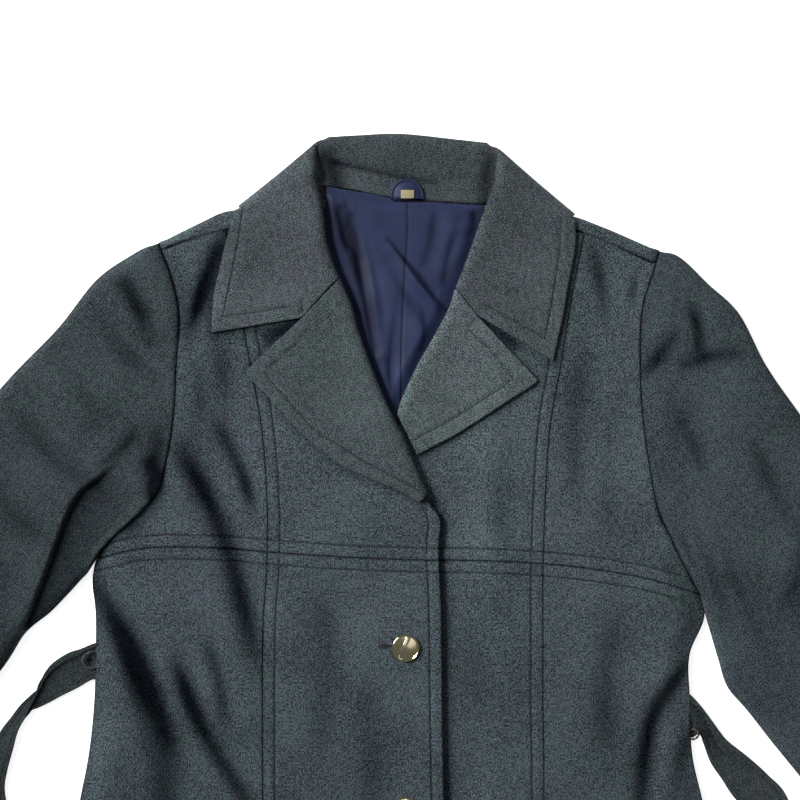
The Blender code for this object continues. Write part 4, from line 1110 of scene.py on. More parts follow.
def turned_piece(name, parts, stitches, finish):
    """A turned piece in sections: from the outer edge along the leaf, round the roll line and on to the seam.

    parts holds the edge, middle, roll and seam places of each section and the functions of height.
    """
    edge, middle, roll, seam = (np.asarray(parts[key], float) for key in ("edge", "middle", "roll", "seam"))
    bend_reach = parts.get("reach", 8.0)
    way = middle - roll
    leaf_end = roll + directions(way) * bend_reach
    first = np.linalg.norm(middle - edge, axis=1)
    second = np.linalg.norm(leaf_end - middle, axis=1)
    total = first + second
    marks = edge_marks(True)
    along = between(np.zeros_like(total), total, marks, np.array([0.0, 3.0, 6.5]), 18)
    leaf = np.empty(along.shape + (2,))
    for number in range(len(edge)):
        stops = [0, first[number], total[number]]
        for axis in (0, 1):
            values = [edge[number, axis], middle[number, axis], leaf_end[number, axis]]
            leaf[number, :, axis] = np.interp(along[number], stops, values)
    index = np.broadcast_to(np.arange(len(edge))[:, None], along.shape)
    leaf_up_at = parts["leaf"](leaf[..., 0], leaf[..., 1], index)
    from_roll = total[:, None] - along
    leaf_up_at = leaf_up_at + parts.get("puff", 1.6) * np.exp(-from_roll / 16)
    turn_way = seam - roll
    reach = np.minimum(bend_reach, 0.5 * np.linalg.norm(turn_way, axis=1))
    turn_start = roll + directions(turn_way) * reach[:, None]
    turn_steps = parts.get("turn_steps", 6)
    share = np.linspace(0, 1, turn_steps + 1)[None, :, None]
    turned = turn_start[:, None] + (seam - turn_start)[:, None] * share
    index = np.broadcast_to(np.arange(len(edge))[:, None], turned.shape[:2])
    turned_up_at = parts["turn"](turned[..., 0], turned[..., 1], index)
    leaf = np.concatenate([leaf, leaf_up_at[..., None]], axis=-1)
    turned = np.concatenate([turned, turned_up_at[..., None]], axis=-1)
    start, stop = leaf[:, -1], turned[:, 0]
    lengths = np.linalg.norm(way, axis=1) * np.linalg.norm(turn_way, axis=1)
    folded = (1 + np.sum(way * turn_way, axis=1) / lengths) / 2
    pull = (0.5 + (4 / 3 - 0.5) * folded)[:, None]
    control_a, control_b = start.copy(), stop.copy()
    control_a[:, :2] += pull * (roll - start[:, :2])
    control_b[:, :2] += pull * (roll - stop[:, :2])
    t = np.linspace(0, 1, 12)[1:-1][None, :, None]
    bent = (
        (1 - t) ** 3 * start[:, None]
        + 3 * (1 - t) ** 2 * t * control_a[:, None]
        + 3 * (1 - t) * t**2 * control_b[:, None]
        + t**3 * stop[:, None]
    )
    points = np.concatenate([leaf, bent, turned], axis=1)
    travel = np.linalg.norm(np.diff(points, axis=1), axis=-1)
    travel = np.concatenate([np.zeros((len(edge), 1)), np.cumsum(travel, axis=1)], axis=1)
    spine = lengths_along((edge + roll) / 2)
    weave = points[..., :2] @ np.array([[0.95, 0.3], [-0.3, 0.95]])
    on_leaf = np.zeros(points.shape[:2], bool)
    on_leaf[:, : along.shape[1]] = True
    apart = distance_to(stitches, points[..., 0], points[..., 1])
    sink = np.where(on_leaf & parts["shown"][:, None], stitch_sink(apart), 0.0)
    points[..., 2] -= sink
    points[..., 2] += np.where(on_leaf, 0.10 * ripple(points[..., 0], points[..., 1], 5.0, 3.0), 0.0)
    end_distance = travel
    for end in parts["free_ends"]:
        end_line = points[end, : along.shape[1] : 3, :2]
        end_distance = np.minimum(end_distance, distance_to([end_line], points[..., 0], points[..., 1]))
    thinner = quarter_round(end_distance, 1.5, 0.03)
    # Painted shade along the rows of stitches on the shown leaf, and at the piece's shaded places.
    dark = np.where(on_leaf & parts["shown"][:, None], 0.6 * hump(apart, 0.9), 0.0)
    dark = dark + shaded(parts["shades"], points[..., 0], points[..., 1])
    grid = cloth_grid(points, weave, np.minimum(dark, 1))
    face_outwards(grid)
    made = object_from(name, grid, finish, angle=180)
    order = np.empty((len(made.data.vertices), 3))
    made.data.vertices.foreach_get("co", order.reshape(-1))
    wanted = place(points).reshape(-1, 3)
    lookup = {tuple(np.round(co, 6)): value for co, value in zip(wanted, thinner.reshape(-1))}
    shares = np.array([lookup.get(tuple(np.round(co, 6)), 1.0) for co in order])
    walled(made, TURNED, 0, shares)
    surface = float(travel[:, -1].mean()) * float(spine[-1])
    return made, surface


def section_shares(count, dense_start, dense_end, length):
    """Shares along a turned piece, close together near the ends that are sewn and stitched."""
    plain = np.array([0.0, 2.0, 5.0])
    marks = edge_marks(True)
    head = marks if dense_start else plain
    tail = marks if dense_end else plain
    return between(np.array(0.0), np.array(float(length)), head, tail, count) / length


def lapel(side, finish):
    """A lapel: the facing turned over at the roll line, with its notch and point."""
    columns = LAPELS[side]
    share = section_shares(46, True, False, 190 if side == "left" else 130)
    edge, roll = rows_at(columns, "edge", share), rows_at(columns, "roll", share)
    away = directions(edge - roll)
    bent = (1 - ease(0, 0.3, share))[:, None]
    notch_off = np.asarray(NOTCHES[side]) - (edge[0] + roll[0]) / 2
    middle = (edge + roll) / 2 + notch_off * bent
    gap = np.array([0.0, 0.3]) * (1 - ease(0, 0.1, share))[:, None]
    edge, middle, roll = edge + gap, middle + gap, roll + gap
    turn_width = (TURN_BACK * (1 - share) + 3.0 * share)[:, None]
    inset = roll + away * TURNED / 2
    parts = {
        "edge": edge,
        "middle": middle,
        "roll": inset,
        "seam": inset + away * turn_width,
        "leaf": lambda a, d, i: leaf_up(side, a, d) + 0.5 * ripple(a, d, 17, 5.0) * 0.6,
        "turn": lambda a, d, i: turn_back_up(side, a, d),
        "shown": np.ones(len(edge), bool),
        "free_ends": (0,),
        "reach": 7.0,
        "puff": 1.2,
        "shades": (),
    }
    made, surface = turned_piece(f"cloth_lapel_{side}", parts, LAPEL_STITCHES[side], finish)
    dress(made, "wool", f"lapel_{side}")
    return made


def collar(finish):
    """The collar from its left point, round behind the neck, to its right point."""
    front_share = section_shares(30, True, False, 120)
    turn = np.radians(np.linspace(12, 168, 16))
    parts = {}
    for side in SIDES:
        columns = COLLAR_FRONTS[side]
        edge, roll, seam = (rows_at(columns, key, front_share) for key in ("edge", "roll", "seam"))
        way = directions(edge - roll)
        blend = ((1 - front_share) ** 4)[:, None]
        middle = (edge + roll) / 2 * (1 - blend) + np.asarray(NOTCHES[side]) * blend
        front = (edge, middle, roll + way * TURNED / 2, seam, np.zeros(len(edge)), front_share)
        places = COLLAR_FOLDS[side]
        corner = np.array(places["edge"])
        share = np.linspace(0, 1, len(turn))
        fold_rolls = smooth([0, 0.5, 1], places["roll"], share)
        fold_seams = smooth([0, 0.5, 1], places["seam"], share)
        way = corner - fold_rolls[len(turn) // 2]
        way = way / np.linalg.norm(way)
        inward = np.array([-way[1], way[0]])
        inward = inward if inward[1] > 0 else -inward
        shift = inward * (TURNED / 2 + 4.8 * (1 - np.sin(turn)))[:, None]
        fold = (
            corner + shift,
            (corner + fold_rolls) / 2 + shift,
            fold_rolls + shift * 0.6,
            fold_seams,
            np.ones(len(turn)),
            turn,
        )
        parts[side] = [np.concatenate([f, g]) for f, g in zip(front, fold)]
    back_share = np.linspace(0, 1, 40)
    edge, roll, seam = (rows_at(COLLAR_BACK, key, back_share) for key in ("edge", "roll", "seam"))
    inset = roll + np.array([0.0, TURNED / 2])
    back = (edge, (edge + inset) / 2, inset, seam, np.full(len(edge), 2.0), back_share)
    edges, middles, rolls, seams, kinds, levels = (
        np.concatenate([parts["left"][k], back[k], parts["right"][k][::-1]]) for k in range(6)
    )
    left_count = len(parts["left"][0])
    is_left = np.arange(len(edges)) < left_count + len(back_share) // 2

    def leaf_height(a, d, i):
        below = np.maximum(d, 66)
        top = np.where(is_left[i], leaf_up("left", a, below), leaf_up("right", a, below))
        front = np.where(is_left[i], leaf_up("left", a, d), leaf_up("right", a, d))
        front = front + 0.4 * ripple(a, d, 19, 8.0)
        near_roll = 1 - ease(0, 24, np.hypot(a - rolls[i, 0], d - rolls[i, 1]))
        low = TURNED / 2 + 2.4 * near_roll
        angle = np.where(kinds[i] == 1, levels[i], 0.0)
        over = (top + low) / 2 + (top - low) / 2 * np.cos(angle)
        return np.where(kinds[i] == 0, front, np.where(kinds[i] == 1, over, TURNED / 2))

    def turn_height(a, d, i):
        front = np.where(is_left[i], turn_back_up("left", a, d), turn_back_up("right", a, d))
        near_shoulder = ease(0.72, 1.0, levels[i])
        front = front * (1 - near_shoulder) + (SEAM_UP + 1.0) * near_shoulder
        fold = SEAM_UP + (STAND_UP - SEAM_UP) * (1 - ease(8, 40, d))
        behind = SEAM_UP + (STAND_UP - SEAM_UP) * (1 - ease(rolls[i, 1] + 8, seams[i, 1], d))
        crease = np.array([[-60, 24], [-43, 27.5], [-17, 32.7], [8, 38], [30, 41], [58, 40]])
        apart = distance_to([crease], a, d)
        behind = behind - 1.0 * hump(apart, 2.4) + 0.7 * hump(apart - 7, 5)
        behind = behind + 0.35 * ripple(a, d, 9, 2.0)
        return np.where(kinds[i] == 0, front, np.where(kinds[i] == 1, fold, behind))

    parts_all = {
        "edge": edges,
        "middle": middles,
        "roll": rolls,
        "seam": seams,
        "leaf": leaf_height,
        "turn": turn_height,
        "shown": kinds == 0,
        "free_ends": (0, -1),
        "reach": 7.5,
        "puff": 1.4,
        "turn_steps": 16,
        "shades": COLLAR_SHADES,
    }
    made, _ = turned_piece("cloth_collar", parts_all, COLLAR_STITCHES, finish)
    dress(made, "wool", "collar")
    return made


def back_lining(finish):
    """The satin that shows in the neck, in soft folds, with its seam down the middle."""
    bottom = 254.0
    share = np.linspace(0, 1, 100)[None, :]
    level = np.linspace(0, 1, 130)[:, None]
    seam_across = -63.5 + (72.0 + 63.5) * share
    top = follow(NECK_SEAM, seam_across) + 1.2
    down = top + (bottom - top) * level
    hidden = 14 * ease(64, 92, down)
    left = np.where(down < 64, -63.5, left_opening(down)) - hidden
    right = np.where(down < 64, 72.0, right_opening(down)) + hidden
    across = left + (np.maximum(right, left + 12) - left) * share
    flat = back_top(across, down) + LINING_REST + SATIN
    room = np.minimum(across - left_opening(down), right_opening(down) - across)
    clear = ease(-1, 12, room) * ease(0, 10, down - top) * (1 - ease(225, 250, down))
    press, dark = creased(LINING_CREASES, across, down)
    relief = 3.0 + 1.1 * ripple(across, down, 15, 3.0) - 1.5 * press
    seam_line = smooth([50, 90, 110, 170, 235], [6.0, 6.0, 4.5, 1.7, 0.9], down)
    seam = 0.45 * hump(np.abs(across - seam_line), 0.9)
    up = flat + np.maximum(relief, 0.1) * clear - seam * ease(0, 6, down - top)
    points = np.stack([across, down, up], axis=-1)
    # Painted shade on the satin: along its folds, down its seam, at its shaded places, and painted shadows
    # beside the openings where the fronts and lapels lie over it.
    dark = 0.2 * dark * clear + 0.9 * hump(np.abs(across - seam_line), 0.9)
    dark = dark + shaded(LINING_SHADES, across, down)
    dark = dark + 0.5 * (1 - ease(-2, 16, across - left_opening(down)))
    dark = dark + 0.4 * (1 - ease(-2, 9, right_opening(down) - across))
    weave = np.stack([across, down], axis=-1)
    made = panel("satin_back_lining", points, weave, SATIN * 0.5, finish, np.minimum(dark, 1))
    dress(made, "satin", "back_lining")
    return made


def tie(side, finish):
    """A belt tie: a strip of two layers beside the coat, its outer edge folded over near the seam."""
    columns = TIES[side]
    share = np.linspace(0, 1, 180)
    outer, inner = rows_at(columns, "outer", share)[:, None], rows_at(columns, "inner", share)[:, None]
    rows = np.arange(len(columns["up"]))
    keys = ("up", "lift", "band", "shade")
    up, lift, band, shade = (smooth(rows, columns[key], share * rows[-1])[:, None] for key in keys)
    in_width = np.concatenate([[0, 0.01, 0.03, 0.06], np.linspace(0.09, 0.91, 29), [0.94, 0.97, 0.99, 1]])
    flat = outer + (inner - outer) * in_width[None, :, None]
    width = np.linalg.norm(inner - outer, axis=-1)
    middle = ((outer + inner) / 2)[:, 0]
    length = lengths_along(middle)[:, None]
    from_edge = np.minimum(in_width, 1 - in_width) * width
    stitched = hump(from_edge - 4.5, 0.9)
    height = up + TIE + lift * (1 - ease(-0.05, 0.03, in_width - band)) - 0.35 * stitched
    height = height - 0.8 * (1 - quarter_round(from_edge, 1.5))
    height = height + 0.3 * np.sin(length / 19 + 1) + 0.35 * np.sin(in_width * 5 + length / 31)
    points = np.concatenate([flat, np.maximum(height, 2.0)[..., None]], axis=-1)
    # Painted shade: inside the folded band, along the stitch rows, and in the hole of the left tie's thread
    # loop.
    past = (in_width - band) * width
    dark = shade * np.exp(-np.maximum(past, 0) / (3 + 26 * shade**2)) * (past > -0.6) + 0.3 * stitched
    if side == "left":
        hole = np.hypot(flat[..., 0] - LOOP_HOLE_SHADE[0], flat[..., 1] - LOOP_HOLE_SHADE[1])
        dark = dark + hump(hole, 2.4)
    weave = np.stack([in_width * width, np.broadcast_to(length, height.shape)], axis=-1)
    grid = cloth_grid(points, weave, np.clip(dark, 0, 1))
    face_outwards(grid)
    made = object_from(f"cloth_belt_tie_{side}", grid, finish)
    top_face = made.data.polygons[len(made.data.polygons) - 40]
    walled(made, 1.8, -1 if top_face.normal.z > 0 else 1)
    dress(made, "wool", f"belt_tie_{side}")
    return made


def belt_loop(side, finish):
    """A twisted thread loop that comes out of the side seam and back over the tie."""
    ends = LOOPS[side]
    path = [[float(smooth(ends["step"], ends[key], at)) for key in ("across", "down", "up")]
            for at in np.linspace(0, ends["step"][-1], 41)]
    path = place(path)
    cords = bmesh.new()
    for strand in range(2):
        rings = []
        for number, centre in enumerate(path):
            ahead = path[min(number + 1, len(path) - 1)] - path[max(number - 1, 0)]
            ahead = Vector(ahead).normalized()
            aside = ahead.cross(Vector((1, 0, 0))).normalized()
            up = ahead.cross(aside).normalized()
            spin = number * 0.55 + strand * math.pi
            core = Vector(centre) + (aside * math.cos(spin) + up * math.sin(spin)) * 0.55 * MM
            made = bmesh.ops.create_circle(cords, segments=8, radius=0.65 * MM, cap_ends=False)
            turn = Matrix((aside, up, ahead)).transposed().to_4x4()
            bmesh.ops.transform(cords, matrix=Matrix.Translation(core) @ turn, verts=made["verts"])
            rings.append(made["verts"])
        for ring, following in zip(rings, rings[1:]):
            sides = [e for v in ring for e in v.link_edges if e.other_vert(v) in ring]
            others = [e for v in following for e in v.link_edges if e.other_vert(v) in following]
            bmesh.ops.bridge_loops(cords, edges=list(set(sides)) + list(set(others)))
        for ring in (rings[0], rings[-1]):
            bmesh.ops.contextual_create(cords, geom=ring)
    face_outwards(cords)
    made = object_from(f"thread_loop_{side}", cords, finish)
    dress(made, "thread", f"belt_loop_{side}")
    return made


BUTTON_PROFILE = table(
    "out up",
    (0, 0.2), (9.6, 0.2), (11.2, 0.7), (11.9, 1.6), (11.9, 2.3), (11.5, 3.0), (10.9, 3.3),
    (10.5, 3.1), (10.1, 2.9), (8.0, 3.15), (4.0, 3.3), (0, 3.35),
)


def button(number, metal, dark):
    """A domed metal disc with a raised bar across it, on the left front."""
    across, down = TOP_BUTTON[0], TOP_BUTTON[1] + BUTTON_SPACING * number
    seat = float(left_front_low(np.array([across]), np.array([down]))[0]) + WOOL + 0.2
    disc = bmesh.new()
    ring = [disc.verts.new((x * MM, 0, z * MM)) for x, z in zip(BUTTON_PROFILE["out"], BUTTON_PROFILE["up"])]
    edges = [disc.edges.new(pair) for pair in zip(ring, ring[1:])]
    turn = {"cent": (0, 0, 0), "axis": (0, 0, 1), "angle": 2 * math.pi}
    bmesh.ops.spin(disc, geom=ring + edges, steps=72, use_merge=True, **turn)
    bmesh.ops.remove_doubles(disc, verts=list(disc.verts), dist=1e-6)
    slant = math.radians(BAR_SLANT)
    for vert in disc.verts:
        x, y, z = vert.co / MM
        across_bar = x * math.cos(slant) + y * math.sin(slant) + BAR_OFF
        if math.hypot(x, y) > BUTTON_DISH or z < 2.5:
            continue
        if across_bar < -1.7:
            vert.co.z += (0.10 * across_bar + 0.1) * MM
        elif across_bar > 1.7:
            vert.co.z += (-0.045 * across_bar - 0.1) * MM
    face_outwards(disc)
    bar = bmesh.ops.create_cube(disc, size=1)["verts"]
    bmesh.ops.scale(disc, vec=Vector(BAR_SIZE) * MM, verts=bar)
    bar_edges = list({edge for vert in bar for edge in vert.link_edges})
    bevel = {"affect": "EDGES", "segments": 4, "profile": 0.5, "material": -1, "offset_type": "OFFSET"}
    rounded = bmesh.ops.bevel(disc, geom=bar_edges, offset=0.7 * MM, **bevel)
    bar = list({vert for face in rounded["faces"] for vert in face.verts} | {v for v in bar if v.is_valid})
    for vert in bar:
        vert.co.z -= 0.010 * (vert.co.y / MM) ** 2 * MM * 0.55
    move = Matrix.Rotation(slant, 4, "Z") @ Matrix.Translation((-BAR_OFF * MM, 0, 3.2 * MM))
    bmesh.ops.transform(disc, matrix=move, verts=bar)
    tilt = Matrix.Rotation(math.radians(BUTTON_TILTS[number]), 4, "X")
    bmesh.ops.transform(disc, matrix=tilt, verts=list(disc.verts))
    set_down(disc, across, down, seat)
    made = object_from(f"metal_button_{number + 1}", disc, metal, 35)
    dress(made, "button_metal", f"button_{number + 1}")
    # Under the button sits a near-black cone: painted shade in the gap beneath the disc.
    shank = bmesh.new()
    bmesh.ops.create_cone(
        shank, cap_ends=True, segments=24, radius1=6.5 * MM, radius2=5.0 * MM, depth=1.4 * MM
    )
    set_down(shank, across, down, seat - 0.4)
    under = object_from(f"button_shank_{number + 1}", shank, dark)
    dress(under, "button_metal")
    return made


def buttonhole(number, finish, dark):
    """The worked slit that the button comes through, with close stitches round it and painted shade in the
    slit.
    """
    across, down = TOP_BUTTON[0] - 9.0, TOP_BUTTON[1] - 1.6 + BUTTON_SPACING * number
    seat = float(left_front_low(np.array([across]), np.array([down]))[0]) + WOOL
    work = bmesh.new()
    for turn in range(SLIT_STITCHES):
        angle = 2 * math.pi * (turn / SLIT_STITCHES)
        x = SLIT_HALF * math.copysign(abs(math.cos(angle)) ** 0.35, math.cos(angle))
        y = 1.25 * math.copysign(abs(math.sin(angle)) ** 0.8, math.sin(angle))
        bead = bmesh.ops.create_uvsphere(work, u_segments=6, v_segments=4, radius=0.5 * MM)["verts"]
        lean = Matrix.Diagonal((0.75, 2.1, 0.8, 1))
        if abs(math.cos(angle)) > 0.93 and abs(math.sin(angle)) < 0.5:
            lean = Matrix.Diagonal((2.1, 0.75, 0.8, 1))
        bmesh.ops.transform(work, matrix=lean, verts=bead)
        bmesh.ops.translate(work, vec=Vector((x * MM, y * MM, 0.15 * MM)), verts=bead)
    set_down(work, across, down, seat)
    made = object_from(f"buttonhole_stitches_{number + 1}", work, finish)
    dress(made, "wool")
    # The slit is a thin near-black box on the cloth: painted shade in its opening.
    slit = bmesh.new()
    bmesh.ops.create_cube(slit, size=1)
    bmesh.ops.scale(slit, vec=(2 * (SLIT_HALF - 0.6) * MM, 1.3 * MM, 0.7 * MM), verts=list(slit.verts))
    set_down(slit, across, down, seat + 0.05)
    made = object_from(f"buttonhole_slit_{number + 1}", slit, dark)
    dress(made, "wool")
    return made


NECK_TILT = Matrix.Rotation(math.radians(4.5), 4, "X")


def neck_tab(finish):
    """The half-moon tab sewn over the neck seam, with a rounded edge."""
    tab = bmesh.new()
    bmesh.ops.create_circle(tab, cap_ends=True, segments=64, radius=TAB_RADIUS * MM)
    whole = list(tab.verts) + list(tab.edges) + list(tab.faces)
    cut = Vector((0, -3.0 * MM, 0))
    bmesh.ops.bisect_plane(tab, geom=whole, plane_co=cut, plane_no=Vector((0, -1, 0)), clear_outer=True)
    grown = bmesh.ops.extrude_face_region(tab, geom=list(tab.faces))
    top = [part for part in grown["geom"] if isinstance(part, bmesh.types.BMVert)]
    bmesh.ops.translate(tab, vec=Vector((0, 0, TAB_WALL * MM)), verts=top)
    face_outwards(tab)
    rim = [edge for edge in tab.edges if all(vert.co.z > 1.0 * MM for vert in edge.verts)]
    bmesh.ops.bevel(
        tab, geom=rim, offset=0.6 * MM, segments=3, profile=0.5, affect="EDGES", material=-1
    )
    crown = [max(tab.faces, key=lambda face: (face.calc_center_median().z, face.calc_area()))]
    bmesh.ops.inset_region(tab, faces=crown, thickness=1.3 * MM, depth=0)
    bmesh.ops.inset_region(tab, faces=crown, thickness=0.4 * MM, depth=-0.45 * MM)
    bmesh.ops.inset_region(tab, faces=crown, thickness=0.4 * MM, depth=0.35 * MM)
    layer = tab.verts.layers.float_vector.new("weave")
    for vert in tab.verts:
        vert[layer] = vert.co
    bmesh.ops.transform(tab, matrix=NECK_TILT, verts=list(tab.verts))
    set_down(tab, *TAB_PLACE)
    made = object_from("satin_neck_tab", tab, finish)
    dress(made, "satin", "neck_tab")
    return made


def neck_label(finish):
    """The bare woven label on the tab."""
    label = bmesh.new()
    bmesh.ops.create_cube(label, size=1)
    bmesh.ops.scale(label, vec=Vector(LABEL_SIZE) * MM, verts=list(label.verts))
    sides = [edge for edge in label.edges if abs(edge.verts[0].co.z - edge.verts[1].co.z) < 1e-7]
    bmesh.ops.bevel(
        label, geom=sides, offset=0.25 * MM, segments=2, profile=0.5, affect="EDGES", material=-1
    )
    bmesh.ops.transform(label, matrix=NECK_TILT, verts=list(label.verts))
    set_down(label, *LABEL_PLACE)
    made = object_from("woven_neck_label", label, finish)
    dress(made, "label", "neck_label")
    return made


def surface_of(piece):
    """A tree of a piece's final faces, to lay stitches on."""
    graph = bpy.context.evaluated_depsgraph_get()
    shown = piece.evaluated_get(graph)
    mesh = shown.to_mesh()
    points = [piece.matrix_world @ vert.co for vert in mesh.vertices]
    faces = [tuple(face.vertices) for face in mesh.polygons]
    tree = BVHTree.FromPolygons(points, faces)
    shown.to_mesh_clear()
    return tree


def stitch_row(work, tree, line, pitch, length, thick):
    """A row of thread stitches along a line, each on the cloth and dipping in at its ends."""
    line = np.asarray(line, float)
    steps = lengths_along(line)
    for number in range(int(steps[-1] / pitch)):
        at = (number + 0.5) * pitch
        ends = []
        for offset in (-length / 2, length / 2):
            spot = [np.interp(at + offset, steps, line[:, axis]) for axis in (0, 1)]
            start = Vector(place((spot[0], spot[1], 60.0)))
            hit = tree.ray_cast(start, Vector((0, 0, -1)))[0]
            ends.append(hit)
        if None in ends or abs(ends[0].z - ends[1].z) > 1.6 * MM:
            continue
        way = ends[1] - ends[0]
        if way.length < 0.4 * length * MM:
            continue
        ahead = way.normalized()
        aside = Vector((0, 0, 1)).cross(ahead).normalized()
        up = ahead.cross(aside)
        bead = bmesh.ops.create_uvsphere(work, u_segments=6, v_segments=5, radius=0.5)["verts"]
        shape = Matrix.Diagonal((way.length, thick * MM, thick * 0.8 * MM, 1))
        turn = Matrix((ahead, aside, up)).transposed().to_4x4()
        middle = (ends[0] + ends[1]) / 2 + up * 0.12 * MM
        flip = Matrix.Rotation(math.pi / 2, 4, "Y")
        bmesh.ops.transform(work, matrix=Matrix.Translation(middle) @ turn @ shape @ flip, verts=bead)


def feed(tree, socket, value):
    """Links a socket to another one, or sets its value."""
    if isinstance(value, bpy.types.NodeSocket):
        tree.links.new(value, socket)
    else:
        socket.default_value = value


def attribute(tree, name, label, output):
    """An attribute of the piece itself, read by its name."""
    made = tree.nodes.new("ShaderNodeAttribute")
    made.label, made.attribute_name = label, name
    return made.outputs[output]


def relief(tree, shader, height, label, strength, distance):
    """Small relief in a finish."""
    made = tree.nodes.new("ShaderNodeBump")
    made.label = label
    made.inputs["Strength"].default_value = strength
    made.inputs["Distance"].default_value = distance
    tree.links.new(height, made.inputs["Height"])
    tree.links.new(made.outputs["Normal"], shader.inputs["Normal"])


def ramp(tree, factor, *stops):
    """A colour that changes with a factor, through stops of place and colour."""
    made = tree.nodes.new("ShaderNodeValToRGB")
    while len(made.color_ramp.elements) < len(stops):
        made.color_ramp.elements.new(0.5)
    for element, (position, colour) in zip(made.color_ramp.elements, stops):
        element.position = position
        element.color = (*colour, 1)
    tree.links.new(factor, made.inputs["Fac"])
    return made.outputs["Color"]


def blank_material(name, roughness, metallic=0.0):
    made = bpy.data.materials.new(name)
    made.use_nodes = True
    shader = made.node_tree.nodes["Principled BSDF"]
    shader.inputs["Roughness"].default_value = roughness
    shader.inputs["Metallic"].default_value = metallic
    return made, made.node_tree, shader


def mix_colours(tree, factor, first, second, blend="MIX"):
    made = tree.nodes.new("ShaderNodeMix")
    made.data_type = "RGBA"
    made.blend_type = blend
    colours = [socket for socket in made.inputs if socket.type == "RGBA"]
    for socket, value in zip(colours, (first, second)):
        feed(tree, socket, value if isinstance(value, bpy.types.NodeSocket) else (*value, 1))
    feed(tree, made.inputs[0], factor)
    return next(socket for socket in made.outputs if socket.type == "RGBA")


def mix_numbers(tree, operation, first, second):
    made = tree.nodes.new("ShaderNodeMath")
    made.operation = operation
    for socket, value in zip(made.inputs, (first, second)):
        feed(tree, socket, value)
    return made.outputs[0]


def tinted(colour, by):
    """A colour times a number."""
    return tuple(part * by for part in colour)


def noise(tree, vector, scale, detail, roughness=0.55, stretch=(1, 1, 1)):
    mapping = tree.nodes.new("ShaderNodeMapping")
    mapping.inputs["Scale"].default_value = stretch
    tree.links.new(vector, mapping.inputs["Vector"])
    made = tree.nodes.new("ShaderNodeTexNoise")
    made.inputs["Scale"].default_value = scale
    made.inputs["Detail"].default_value = detail
    made.inputs["Roughness"].default_value = roughness
    tree.links.new(mapping.outputs["Vector"], made.inputs["Vector"])
    return made.outputs["Fac"]


def wool_material(name, dark, light, settings, grain):
    """Heathered wool: fine dark and light flecks along the weave, green and violet casts, a soft nap, and
    shade painted in where the piece's attribute says.
    """
    made, tree, shader = blank_material(name, 0.94)
    weave = attribute(tree, "weave", "where in the weave", "Vector")
    flecks = noise(tree, weave, settings.fleck_scale, 1.0, 0.6, grain)
    grit = noise(tree, weave, settings.fleck_scale * 1.7, 0.0, 0.5)
    clumps = noise(tree, weave, settings.fleck_scale * 0.3, 2.0, 0.6, (1.0, 0.55, 1.0))
    drift = mix_numbers(tree, "MULTIPLY", noise(tree, weave, 9.0, 2.0, 0.5), 0.25)
    mottle = mix_numbers(tree, "MULTIPLY", noise(tree, weave, 140.0, 3.0, 0.6), 0.75)
    cast = mix_numbers(tree, "ADD", drift, mottle)
    cloud = noise(tree, weave, 16.0, 3.0, 0.5)
    tone = mix_numbers(tree, "MULTIPLY", flecks, 0.50)
    for part, share in ((grit, 0.22), (clumps, 0.16), (cloud, 0.12)):
        tone = mix_numbers(tree, "ADD", tone, mix_numbers(tree, "MULTIPLY", part, share))
    middle = tuple(0.42 * (a + b) for a, b in zip(dark, light))
    shades = ramp(tree, tone, (0.405, dark), (0.50, middle), (0.605, light))
    green = mix_colours(tree, 1.0, shades, (0.93, 1.045, 0.965), "MULTIPLY")
    violet = mix_colours(tree, 1.0, shades, (1.055, 0.965, 1.07), "MULTIPLY")
    colour = mix_colours(tree, ramp(tree, cast, (0.42, (0, 0, 0)), (0.58, (1, 1, 1))), green, violet)
    # Painted shade: where the piece's painted shade attribute is high, the colour is mixed towards a much
    # darker copy, and sheen and specular level are lowered.
    hollow = attribute(tree, "hollow", "shade in the hollows", "Fac")
    painted_shade_colour = mix_colours(tree, 1.0, colour, (0.11, 0.115, 0.145), "MULTIPLY")
    tree.links.new(mix_colours(tree, hollow, colour, painted_shade_colour), shader.inputs["Base Color"])
    clear = mix_numbers(tree, "SUBTRACT", 1.0, hollow)
    tree.links.new(mix_numbers(tree, "MULTIPLY", clear, 0.08), shader.inputs["Sheen Weight"])
    tree.links.new(mix_numbers(tree, "MULTIPLY", clear, 0.12), shader.inputs["Specular IOR Level"])
    shader.inputs["Sheen Roughness"].default_value = 0.5
    shader.inputs["Sheen Tint"].default_value = (0.75, 0.8, 0.82, 1)
    height = mix_numbers(tree, "ADD", flecks, mix_numbers(tree, "MULTIPLY", grit, 0.6))
    relief(tree, shader, height, "nap", 0.7, 0.0005)
    return made


def satin_material(colour):
    """Smooth satin with faint threads, and shade painted into its folds and beside the parts that lie over
    it.
    """
    made, tree, shader = blank_material("navy_satin_cloth", 0.5)
    weave = attribute(tree, "weave", "where in the weave", "Vector")
    cloud = noise(tree, weave, 30.0, 2.0, 0.5)
    shades = ramp(tree, cloud, (0.35, tinted(colour, 0.82)), (0.65, tinted(colour, 1.12)))
    # Painted shade: the attribute darkens the satin towards a fifth of its colour.
    hollow = attribute(tree, "hollow", "shade in the folds", "Fac")
    tree.links.new(mix_colours(tree, hollow, shades, tinted(colour, 0.22)), shader.inputs["Base Color"])
    shader.inputs["Specular IOR Level"].default_value = 0.14
    threads = noise(tree, weave, 1400.0, 1.0, 0.5, (1.0, 0.12, 1.0))
    relief(tree, shader, threads, "threads", 0.25, 0.0002)
    return made


